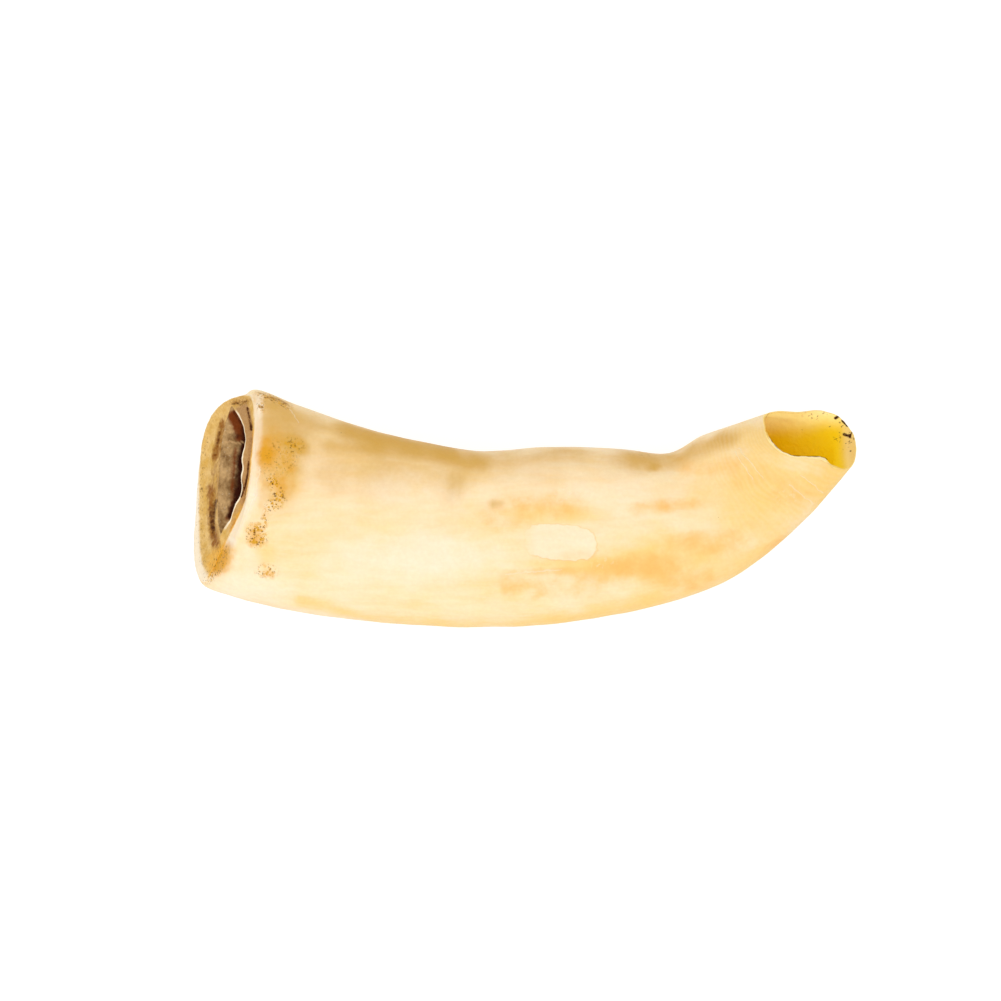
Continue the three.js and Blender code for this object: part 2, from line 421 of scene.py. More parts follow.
    def oval_points(self, along: Array, turn: Array) -> Array:
        """Points of the ovals.

        Args:
            along: The share of the way along the tooth.
            turn: 0 at the hollow edge and a quarter turn on the upper side, in along's shape.

        Returns:
            The points, on one more axis.
        """
        rows = self.measures(along)
        hollow, bulge = rows[..., HOLLOW], rows[..., BULGE]
        base, side, top = (rows[..., height] for height in (BASE, SIDE, TOP))
        across, rise = np.cos(turn), np.sin(turn)
        is_upper = rise >= 0
        quarter = np.where(is_upper, np.where(across >= 0, 0, 1), np.where(across < 0, 2, 3))
        power = 2.0 / np.take_along_axis(rows[..., SQUARE], quarter[..., None], axis=-1)[..., 0]
        out = np.sign(across) * np.abs(across) ** power
        lift = np.abs(rise) ** power
        lean = np.where(is_upper[..., None], rows[..., UPPER_LEAN], rows[..., UNDER_LEAN])
        plan = (hollow + bulge) / 2 + (hollow - bulge) / 2 * out[..., None] + lean * lift[..., None]
        height = side + lift * np.where(is_upper, top - side, base - side)
        return np.concatenate([plan, height[..., None]], axis=-1)

    def skin(self, along: Array, turn: Array) -> Array:
        """Points of the tooth's skin, drawn over to the rims, ridged, grooved and flattened below.

        Args:
            along: The share of the way along the tooth.
            turn: 0 at the hollow edge and a quarter turn on the upper side, in along's shape.

        Returns:
            The points, on one more axis.
        """
        points = self.oval_points(along, turn)
        for rim, end in ((self.crown_rim, 0.0), (self.root_rim, 1.0)):
            oval = self.oval_points(np.full(turn.shape, end), turn)
            pull = np.clip(1.0 - np.abs(along - end) / self.rim_fade, 0.0, 1.0) ** 2
            points[..., 0:2] += (closed_curve(rim, turn) - oval[..., 0:2]) * pull[..., None]
        middle = self.middle(along)
        spoke = points - middle
        ridge = bump(turn, self.ridge_turn, self.ridge_width) * plateau(along, *self.ridge_reach)
        groove = bump(turn, self.groove_turn, self.groove_width) * plateau(along, *self.groove_reach)
        notch = plateau(FULL_TURN - turn, *self.notch_turns) * plateau(along, *self.notch_reach)
        relief = self.ridge_height * ridge - self.groove_depth * groove - self.notch_depth * notch
        length = np.linalg.norm(spoke, axis=-1)
        placed = middle + spoke * ((length + relief) / length)[..., None]
        low = placed[..., 2]
        rounded = (low + np.sqrt(low**2 + self.flat_edge**2)) / 2
        sunk = rounded - self.flat_sink * np.exp(-np.maximum(low, 0.0))
        placed[..., 2] = np.maximum(sunk, 0.0)
        return placed


TABLE_MARKS: Marks = {
    Mark.STAIN_AND_SHADE: (
        Stroke(((221, 424), (218, 440), (214, 458)), 6.0, 0.75, core=0.0),
        Stroke(((216, 450), (213, 470), (211, 500)), 5.0, 0.45, core=0.0),
        Stroke(((210, 490), (211, 508), (211, 522), (216, 544)), 8.0, 0.8, core=0.0),
        Patch((215, 543), (7, 13), 0.25),
        Stroke(((224, 418), (220, 450), (217, 480), (216, 500)), 5.0, 0.35, core=0.0),
        Stroke(((236, 404), (250, 402)), 5.0, 0.5, core=0.0),
    ),
    # Dark lines along the carved grooves, and dark specks by the far rim.
    Mark.GRIME_AND_SHADE: (
        Stroke(((219, 433), (218, 440), (216, 447)), 2.4, 0.62, core=0.0),
        Stroke(((215, 450), (214, 458)), 1.6, 0.4, core=0.0),
        Stroke(((216, 502), (214, 512), (213, 524), (214, 530)), 4.4, 0.72, core=0.0),
        Stroke(((210, 508), (210, 524), (215, 538)), 2.2, 0.55, core=0.0),
        Stroke(((248, 409), (250, 419), (252.5, 431)), 1.7, 0.9, core=0.0),
        Patch((252.5, 429), (1.6, 3.5), 0.5),
        Stroke(((250, 463), (249, 475), (246.5, 488), (243, 498)), 1.8, 0.95, core=0.0),
        Stroke(((232, 405), (237, 404), (241, 406), (247, 402)), 1.4, 0.55, core=0.0),
        Patch((201, 490), (1.2, 1.8), 0.6),
        Patch((201, 530), (1.1, 1.2), 0.55),
        Patch((204, 537), (0.9, 1.0), 0.45),
        Patch((201, 551), (0.9, 2.0), 0.45),
    ),
    Mark.AMBER: (
        Patch((221, 560), (12, 19), 0.9, turned=25),
        Stroke(((254, 432), (252, 462), (249, 484), (243, 506), (232, 532)), 2.6, 0.9),
        Patch((204, 450), (5, 60), 0.2),
    ),
    Mark.SPECKS: (
        Stroke(((222, 552), (219, 563), (213, 572), (208, 578)), 8, 1.0),
        Stroke(((206, 440), (200, 480), (198, 530), (204, 566)), 6, 0.5),
        Stroke(((232, 404), (246, 404)), 5, 0.6),
    ),
}

CUP_MARKS: Marks = {
    # Rust-brown at the slit's upper end: partly stain, partly painted shade.
    Mark.AMBER: (
        Stroke(((233, 417), (238, 426), (241, 438)), 8.5, 1.0),
        Stroke(((236, 450), (233, 475), (234, 500), (228, 520)), 5.0, 0.75, core=0.0),
    ),
    Mark.PALE_AND_PAINTED_LIGHT: (
        Stroke(((226, 443), (231, 442.5), (238, 444.5), (243, 443)), 1.6, 0.75, core=0.0),
        Stroke(((231, 424), (233, 432), (236, 440)), 1.5, 0.3, core=0.0),
    ),
    # Painted shade, over brown stain: the dark of the deep slit beside the near rim.
    Mark.DEEP: (
        Stroke(((246, 434), (245, 446), (242, 462), (241, 485), (239, 500), (232, 516)), 8.0, 1.0, core=0.1),
        Stroke(((240, 458), (238, 480), (236, 500)), 4.5, 0.7, core=0.0),
        Stroke(((234, 413), (241, 424), (246, 436)), 3.0, 0.6, core=0.0),
        Patch((236, 437), (4, 3), 0.6),
    ),
}


@dataclass(frozen=True)
class Crown:
    """The crown's worn end: the grinding table and the cup in it.

    A row of the profile has a share of the way from the lip to the cup's edge, and how far the table
    stands out of its plane there, on its far half and on its near half. A row of the cup's profile has
    a share of the way from its edge to its middle line, and the depth there. The enamel's rim and the
    crest widen, and the band between them fades, between rows of the view.
    """

    shape: Shape
    turns: Array
    table_rings: int = 46
    cup_rings: int = 28
    cup_edge: tuple[Place, ...] = (
        (232.0, 407.5), (235.5, 412.0), (239.6, 417.8), (243.0, 424.0),
        (245.4, 431.0), (247.2, 439.5), (246.2, 448.0), (243.5, 458.0),
        (244.4, 467.5), (243.1, 477.0), (244.2, 488.5), (242.3, 497.0),
        (238.0, 504.0), (235.4, 511.5), (232.6, 519.2), (226.5, 526.5),
        (222.5, 534.0), (220.8, 533.0), (220.0, 529.5), (218.9, 523.0),
        (218.6, 515.0), (218.3, 505.5), (218.2, 495.0), (218.8, 484.0),
        (219.6, 473.0), (220.2, 461.5), (220.8, 450.0), (222.2, 440.0),
        (224.2, 430.5), (226.2, 422.5), (228.4, 415.5), (230.3, 410.5),
    )
    plane_middle: Place = (-25.3, 2.35)
    plane_height: float = 6.0
    plane_slope: Place = (2.02, -0.39)
    profile: tuple[Triple, ...] = (
        (0.0, 0.0, 0.0), (0.05, 0.16, 0.04), (0.12, 0.24, 0.03), (0.22, 0.08, -0.2),
        (0.36, -0.12, -0.15), (0.52, -0.18, 0.0), (0.66, -0.2, 0.12), (0.77, -0.2, 0.24),
        (0.88, -0.02, 0.35), (0.96, 0.1, 0.4), (1.0, 0.08, 0.32),
    )
    cup_profile: tuple[Place, ...] = (
        (0.0, 0.0), (0.16, 0.35), (0.29, 0.75), (0.42, 1.3), (0.56, 2.4), (0.7, 4.2), (0.84, 6.4),
    )
    cup_depth: float = 7.4
    cup_line: tuple[Place, Place] = ((-24.9, -0.8), (-24.2, 6.8))
    cup_roughness: float = 0.07
    enamel_rows: Place = (440.0, 560.0)
    enamel_end_rows: Place = (536.0, 552.0)
    enamel_end_columns: Place = (206.0, 212.0)
    crest_rows: Place = (440.0, 460.0)
    band_rows: Span = ((495.0, 515.0), (524.0, 544.0))
    crumbling: tuple[Triple, ...] = ((0.05, 0.7, 3.1), (0.025, 0.28, 8.4))
    grooves: tuple[Stroke, ...] = (
        Stroke(((248, 410), (250, 419), (252, 431)), 2.0, 0.16),
        Stroke(((249, 417), (252, 427)), 1.8, 0.14),
        Stroke(((252, 440), (250, 462), (249, 475), (246, 488), (243, 497)), 1.6, 0.12),
        Stroke(((219, 431), (217, 442), (214, 455)), 3.0, 0.25),
        Stroke(((214, 497), (213, 512), (212, 526), (216, 540)), 4.0, 0.4),
        Stroke(((233, 404), (240, 406), (246, 403)), 1.8, 0.2),
    )

    @property
    def outward(self) -> Array:
        """The way out of the table."""
        way = np.array([-self.plane_slope[0], -self.plane_slope[1], 1.0])
        return way / np.linalg.norm(way)

    @property
    def inward(self) -> Array:
        """The way into the cup, along the tooth."""
        way = self.shape.middle(0.12) - self.shape.middle(0.0)
        return way / np.linalg.norm(way)

    @staticmethod
    def nearness(turn: Array) -> Array:
        """How much each point belongs to the near half of the crown's end."""
        return smoothstep(np.sin(turn), -0.6, 0.8)

    def lip(self, turn: Array) -> Array:
        """How far the cup's edge stands proud of the table's plane."""
        return mix(self.profile[-1][1], self.profile[-1][2], self.nearness(turn))

    def on_plane(self, plan: Array) -> Array:
        """Points of the table's plane, given where they are seen from above."""
        height = self.plane_height + (plan - np.array(self.plane_middle)) @ np.array(self.plane_slope)
        return np.concatenate([plan, height[..., None]], axis=-1)

    def edge_foot(self, turn: Array) -> Array:
        """Points of the table's plane under the cup's edge."""
        plan = from_view(closed_curve(self.cup_edge, turn))
        return self.on_plane(plan - self.lip(turn)[..., None] * self.outward[0:2])

    def table(self) -> Rings:
        """Shapes the grinding table, from the cup's edge out to the lip.

        Returns:
            The table's rings.
        """
        share, turn = np.meshgrid(np.linspace(1.0, 0.0, self.table_rings), self.turns, indexing="ij")
        rows = np.array(self.profile)
        far, near = (np.interp(share, rows[:, 0], rows[:, column]) for column in (1, 2))
        rim = self.shape.skin(np.zeros(turn.shape), turn)
        points = mix(rim, self.edge_foot(turn), share[..., None])
        within = smoothstep(share, 0.0, 0.06)
        lift = mix(far, near, self.nearness(turn)) + unevenness(points, self.crumbling) * within
        carved = lay(self.grooves, to_view(points + lift[..., None] * self.outward))
        carved = carved * within * (1.0 - smoothstep(share, 0.55, 0.78))
        points = points + (lift - carved)[..., None] * self.outward
        return Rings(Zone.TABLE, points, self.table_marks(points, share, turn))

    def table_marks(self, points: Array, share: Array, turn: Array) -> dict[Mark, Array]:
        """Lays the enamel rim, the stars, the dark lines along the grooves and the cup's pale crest.

        Args:
            points: The table's points.
            share: The share of the way from the lip to the cup's edge.
            turn: The turn of each point.

        Returns:
            The marks by name.
        """
        seen = to_view(points)
        column, row = seen[..., 0], seen[..., 1]
        nearness, upward = self.nearness(turn), np.sin(turn)
        enamel_width = mix(0.08 + 0.16 * smoothstep(row, *self.enamel_rows), 0.06, nearness)
        enamel = 1.0 - smoothstep(share - enamel_width, -0.05, 0.07)
        lower_end = smoothstep(row, *self.enamel_end_rows) * smoothstep(column, *self.enamel_end_columns)
        enamel = enamel * (1.0 - lower_end) * mix(1.0, 0.5, nearness)
        crest_width = mix(0.9, 0.84, smoothstep(row, *self.crest_rows))
        crest = smoothstep(share - crest_width, -0.03, 0.06) * smoothstep(upward, 0.05, 0.4)
        band = smoothstep(share, 0.34, 0.56) * smoothstep(upward, 0.0, 0.3) * (1.0 - crest)
        first_fade, last_fade = (smoothstep(row, *rows) for rows in self.band_rows)
        band = band * (1.0 - 0.5 * first_fade - 0.5 * last_fade)
        cup_side = smoothstep(share, 0.86, 1.0) * (1.0 - nearness) * 0.6
        return {
            **lay_all(TABLE_MARKS, seen),
            Mark.PALE_AND_PAINTED_LIGHT: np.clip(enamel + crest, 0.0, 1.0),
            Mark.DEEP: np.maximum(band, cup_side),
            Mark.ALONG: share,
        }

    def cup(self) -> Rings:
        """Shapes the cup, from its bottom out to its edge.

        Returns:
            The cup's rings.
        """
        profile = np.array(self.cup_profile)
        depth = np.linspace(1.0, 0.0, self.cup_rings) ** 1.5 * profile[-1, 1]
        shares = np.interp(depth, profile[:, 1], profile[:, 0])
        share, turn = np.meshgrid(shares, self.turns, indexing="ij")
        deep = np.meshgrid(depth, self.turns, indexing="ij")[0]
        first, last = self.on_plane(np.array(self.cup_line))
        line = mix(first, last, ((1.0 + np.cos(turn)) / 2)[..., None])
        points = mix(self.edge_foot(turn), line, share[..., None])
        rough = self.cup_roughness * wander(points + deep[..., None], 0.45, 1.7)
        rough = rough * smoothstep(deep, 0.0, 0.25)
        points = points + (self.lip(turn) * (1.0 - share))[..., None] * self.outward
        points = points + (deep + rough)[..., None] * self.inward
        marks = lay_all(CUP_MARKS, to_view(points))
        # Painted shade, over brown stain: the wall darkens with depth into the cup.
        marks[Mark.DEEP] = np.maximum(smoothstep(deep, 0.7, 2.2), marks[Mark.DEEP])
        return Rings(Zone.CUP, points, {**marks, Mark.ALONG: share})

    def cup_bottom(self) -> Array:
        """The deepest point of the cup."""
        first, last = self.on_plane(np.array(self.cup_line))
        return (first + last) / 2 + self.inward * self.cup_depth


SKIN_MARKS: Marks = {
    # Partly painted shade: the strokes along the upper hollow edge darken the side that faces away from the
    # light, over real stain.
    Mark.STAIN_AND_SHADE: (
        Stroke(((256, 392), (290, 406), (320, 418), (360, 429), (400, 437), (450, 443)), 18, 0.42, core=0.4),
        Stroke(((350, 427), (400, 438), (450, 450), (480, 455)), 22, 0.85, core=0.1),
        Stroke(((440, 446), (480, 452), (540, 450), (600, 450), (650, 454)), 24, 0.5, core=0.0),
        Stroke(((640, 457), (668, 458), (700, 444), (722, 436)), 26, 0.8, core=0.0),
        Stroke(((620, 448), (668, 454), (700, 440)), 8, 0.7, core=0.0),
        Stroke(((330, 447), (400, 452), (450, 456)), 12, 0.5, core=0.0),
        Stroke(((730, 436), (764, 420), (800, 412)), 18, 0.25, core=0.0),
        Patch((462, 470), (30, 24), 0.15, soft=0.8),
        Patch((284, 420), (30, 40), 0.7, soft=0.7),
        Patch((296, 446), (14, 9), 0.65, turned=25, soft=0.4),
        Stroke(((286, 443), (292, 444), (301, 452)), 3.5, 0.6),
        Patch((280, 480), (24, 40), 0.35),
        Patch((340, 462), (60, 36), 0.35, soft=0.9),
        Patch((410, 466), (70, 30), 0.4, soft=0.9),
        Patch((454, 500), (12, 26), 0.2, soft=0.9),
        Patch((560, 470), (90, 20), 0.25),
        Patch((654, 468), (6, 4), 0.6, turned=-20),
        Patch((497, 505), (5, 8), 0.7, soft=0.4),
        Patch((455, 485), (7, 18), 0.3),
        Patch((300, 480), (16, 50), 0.45, side=Side.UNDER),
        Patch((430, 478), (110, 18), 0.4, soft=0.9, side=Side.UNDER),
        Patch((600, 540), (90, 24), 0.4, side=Side.UNDER),
        Patch((300, 590), (50, 22), 0.4, side=Side.UNDER),
        Patch((750, 462), (50, 20), 0.35, soft=0.9, side=Side.UNDER),
    ),
    Mark.AMBER: (
        Patch((268, 456), (8, 13), 0.8, soft=0.7),
        Patch((270, 446), (13, 18), 0.4, soft=0.8),
        Patch((284, 489), (10, 12), 0.45, turned=20, soft=0.8),
        Patch((293, 467), (8, 10), 0.3, soft=0.8),
        Patch((277, 475), (18, 34), 0.25, soft=0.8),
        Patch((256, 537), (9, 11), 0.6, soft=0.8),
        Patch((266, 515), (6, 18), 0.2, turned=-15, soft=0.8),
        Patch((221, 561), (8, 15), 0.9, turned=25, soft=0.7),
        Patch((228, 554), (9, 13), 0.4, turned=25, soft=0.8),
        Patch((226, 567), (8, 9), 0.3, soft=0.9),
        Patch((261, 474), (6, 16), 0.2, soft=0.9),
        Patch((262, 568), (12, 9), 0.2, soft=0.8),
        Patch((271, 575), (5, 4), 0.5, soft=0.7),
        Patch((268, 490), (16, 50), 0.4, side=Side.UNDER),
        Patch((255, 540), (18, 18), 0.7, side=Side.UNDER),
    ),
    Mark.HONEY: (
        Patch((770, 480), (80, 60), 0.75, soft=0.7),
        Patch((838, 484), (30, 22), 1.0),
        Stroke(((560, 625), (640, 608), (720, 585), (780, 545)), 26, 0.7, core=0.0),
        Patch((282, 480), (22, 26), 0.5),
        Patch((748, 432), (22, 12), 0.5, soft=0.8),
        Patch((430, 474), (60, 16), 0.3, soft=0.9),
        Patch((322, 438), (22, 10), 0.35, soft=0.9),
        Stroke(((300, 600), (380, 622), (480, 628), (580, 622)), 12, 0.6, core=0.0),
        Patch((268, 555), (14, 12), 0.35),
        Patch((555, 515), (50, 10), 0.6),
        Patch((575, 566), (50, 8), 0.7),
        Patch((660, 560), (80, 24), 0.6),
        Patch((600, 550), (260, 60), 0.7, side=Side.UNDER),
    ),
    Mark.BLUSH: (
        Patch((520, 590), (18, 12), 0.35, soft=0.8),
        Patch((505, 582), (9, 12), 0.3, soft=0.8),
        Patch((545, 572), (30, 4), 0.45),
        Patch((640, 566), (34, 10), 0.8, soft=0.8),
        Patch((600, 573), (22, 9), 0.45, soft=0.8),
        Patch((570, 588), (40, 14), 0.35, soft=0.9),
        Patch((655, 572), (60, 14), 0.4, soft=0.9),
        Patch((500, 520), (30, 16), 0.3, soft=0.9),
        Patch((670, 506), (30, 7), 0.6, soft=0.8),
        Patch((645, 512), (18, 7), 0.4, soft=0.8),
        Patch((685, 582), (26, 10), 0.5, soft=0.8),
        Patch((705, 545), (34, 13), 0.6, soft=0.8),
        Patch((690, 465), (26, 12), 0.4, soft=0.8),
        Patch((745, 530), (30, 10), 0.3, turned=-25, soft=0.8),
        Patch((775, 548), (22, 6), 0.6, turned=-38, soft=0.8),
        Patch((790, 495), (22, 16), 0.4, soft=0.8),
        Patch((545, 506), (44, 14), 0.45, soft=0.8),
        Patch((582, 556), (18, 5), 0.6, soft=0.8),
        Patch((740, 475), (30, 16), 0.35, soft=0.8),
        Patch((420, 552), (20, 9), 0.3, soft=0.8),
        Patch((445, 515), (14, 18), 0.25, soft=0.8),
        Patch((560, 560), (70, 14), 0.5, side=Side.UNDER),
        Patch((690, 520), (60, 18), 0.6, side=Side.UNDER),
        Patch((420, 540), (60, 20), 0.35, side=Side.UNDER),
    ),
    Mark.PALE_AND_PAINTED_LIGHT: (
        Stroke(((257, 394), (259, 430), (257, 470), (252, 500), (242, 525), (233, 543)), 9, 0.5, core=0.2),
        # Painted highlight: the glint on the lip's top corner.
        Patch((261, 404), (4, 10), 0.5, soft=0.6),
        Patch((256, 500), (7, 26), 0.3, turned=10),
        Patch((232, 543), (6, 4), 0.8),
        Patch((250, 562), (20, 14), 0.3),
        Patch((250, 588), (50, 14), 0.5),
        Patch((395, 560), (70, 26), 0.55, soft=0.9),
        Patch((460, 556), (50, 22), 0.45, soft=0.9),
        Patch((400, 490), (34, 22), 0.35),
        Patch((520, 486), (34, 10), 0.15, soft=0.8),
        Patch((580, 492), (26, 10), 0.3, soft=0.8),
        Patch((620, 545), (30, 8), 0.3, soft=0.8),
        Patch((460, 500), (40, 18), 0.3, soft=0.8),
        Patch((790, 465), (40, 8), 0.3, turned=15),
        Patch((400, 560), (160, 40), 0.5, side=Side.UNDER),
    ),
    Mark.SPECKS: (
        Stroke(((274, 482), (279, 492), (281, 500), (275, 507)), 8, 1.0),
        Stroke(((272, 504), (268, 515), (264, 528)), 5, 0.8),
        Patch((258, 536), (10, 11), 1.0, soft=0.4),
        Stroke(((224, 552), (221, 563), (214, 573), (208, 578)), 9, 1.0),
        Patch((268, 572), (9, 6), 0.8),
        Stroke(((262, 396), (274, 399), (290, 407)), 6, 0.9),
        Patch((262, 408), (5, 6), 0.6),
        Patch((293, 447), (11, 7), 0.7),
        Patch((288, 462), (12, 12), 0.3),
        Patch((274, 462), (14, 20), 0.25),
        Patch((268, 490), (10, 44), 0.3, soft=0.9, side=Side.UNDER),
        Patch((250, 550), (16, 16), 0.6, soft=0.9, side=Side.UNDER),
    ),
    Mark.GRIME_AND_SHADE: (
        Stroke(((263, 395), (272, 399), (281, 401), (290, 408)), 4.5, 0.62, core=0.0),
        Patch((272, 400), (2.0, 1.5), 0.6),
        Patch((262, 408), (2.2, 2.6), 0.55, turned=-40),
        Patch((275, 446), (1.4, 2.4), 0.7, turned=-25),
        Stroke(((288, 441), (294, 446), (300, 450)), 3.0, 0.4, core=0.0),
        Patch((648, 456), (20, 2.5), 0.2),
    ),
    Mark.PITS: (
        Patch((602, 565), (10, 7), 1.0, soft=0.4),
        Patch((570, 495), (18, 10), 0.7),
        Patch((315, 455), (3, 3), 0.9),
        Patch((785, 497), (14, 8), 0.6),
    ),
}


@dataclass(frozen=True)
class Body:
    """The skin of the tooth, from the crown's lip to the root's rim.

    The rim is drawn back by waves, each given by its depth as a share of the tooth's length, its count
    round the rim and its start.
    """

    shape: Shape
    turns: Array
    rings: int = 142
    crowding: float = 0.6
    chip_turn: float = 2.52
    chip_width: float = 0.12
    chip_depth: float = 0.006
    chip_reach: float = 0.05
    waves: tuple[Triple, ...] = ((0.0004, 9.0, 1.0), (0.0006, 17.0, 0.0), (0.0005, 31.0, 0.0))
    waves_middle: float = 0.0008
    swells: tuple[Triple, ...] = ((0.07, 4.5, 5.3), (0.035, 1.8, 2.2))
    clouds: tuple[Triple, ...] = ((0.3, 3.5, 7.7), (0.12, 1.2, 4.1))
    straying: Triple = (14.0, 2.4, 3.3)
    swell_reach: Span = ((0.0, 0.03), (0.97, 1.0))

    def points_at(self, along: Array, turn: Array) -> Array:
        """Points of the skin, drawn back where the root's rim is ragged and chipped.

        Args:
            along: The share of the way along the tooth.
            turn: The turn of each point, in along's shape.

        Returns:
            The points, on one more axis.
        """
        at_rim = smoothstep(along, 1.0 - self.chip_reach, 1.0)
        chip = self.chip_depth * bump(turn, self.chip_turn, self.chip_width)
        ragged = sum(depth * np.sin(turn * count + start) for depth, count, start in self.waves)
        ragged = (ragged + self.waves_middle) * mix(0.3, 1.0, smoothstep(np.sin(turn), 0.1, 0.5))
        return self.shape.skin(along - (chip + ragged) * at_rim, turn)

    def surface(self) -> Rings:
        """Shapes the skin and lays the stains, blushes and specks on it. The stain along the hollow edge is
        partly painted shade.

        Returns:
            The skin's rings.
        """
        steps = np.linspace(0.0, 1.0, self.rings)
        share = steps - self.crowding * np.sin(FULL_TURN * steps) / FULL_TURN
        along, turn = np.meshgrid(share, self.turns, indexing="ij")
        points = self.points_at(along, turn)
        spoke = points - self.shape.middle(along)
        spoke = spoke / np.linalg.norm(spoke, axis=-1)[..., None]
        inner = plateau(along, *self.swell_reach) * smoothstep(points[..., 2], 0.0, 0.6)
        points = points + (unevenness(points, self.swells) * inner)[..., None] * spoke
        return Rings(Zone.SKIN, points, self.marks(points, along, turn))

    def marks(self, points: Array, along: Array, turn: Array) -> dict[Mark, Array]:
        """Lays what colours the skin. On the steep back the marks stray, so that they don't stretch.

        Args:
            points: The skin's points.
            along: The share of the way along the tooth.
            turn: The turn of each point.

        Returns:
            The marks by name.
        """
        seen = to_view(points)
        height = np.sin(turn)
        back = smoothstep(np.cos(turn), 0.0, 0.4)
        cloudy = height + unevenness(points, self.clouds)
        upper = mix(smoothstep(height, -0.5, 0.0), smoothstep(cloudy, -0.2, 0.6), back)
        steep = back * (1.0 - smoothstep(height, 0.05, 0.4))
        seen[..., 0] += steep * unevenness(points, (self.straying,))
        return {**lay_all(SKIN_MARKS, seen, upper), Mark.ALONG: along}


PULP_MARKS: Marks = {
    Mark.GRIME_AND_SHADE: (
        Patch((837, 440), (1.1, 0.9), 1.0, soft=0.5),
        Patch((832, 427), (0.7, 0.6), 0.8, soft=0.5),
        Patch((842, 423), (0.9, 0.8), 0.9, soft=0.5),
        Patch((848, 427), (0.9, 0.8), 0.9, soft=0.5),
        Patch((852, 452), (0.8, 0.8), 0.8, soft=0.5),
        Patch((801, 456), (1.1, 0.8), 0.9, soft=0.5),
        Patch((855, 440), (0.8, 2.0), 0.6, soft=0.5),
        Stroke(((766, 420), (768, 416), (771, 413)), 0.9, 0.5, core=0.0),
    ),
    Mark.SPECKS: (Patch((848, 432), (12, 16), 0.8), Patch((820, 416), (14, 5), 0.6)),
    Mark.PALE_AND_PAINTED_LIGHT: (Patch((820, 410), (30, 5), 0.3),),
    Mark.STAIN_AND_SHADE: (Patch((854, 446), (10, 30), 0.75, soft=0.7),),
}


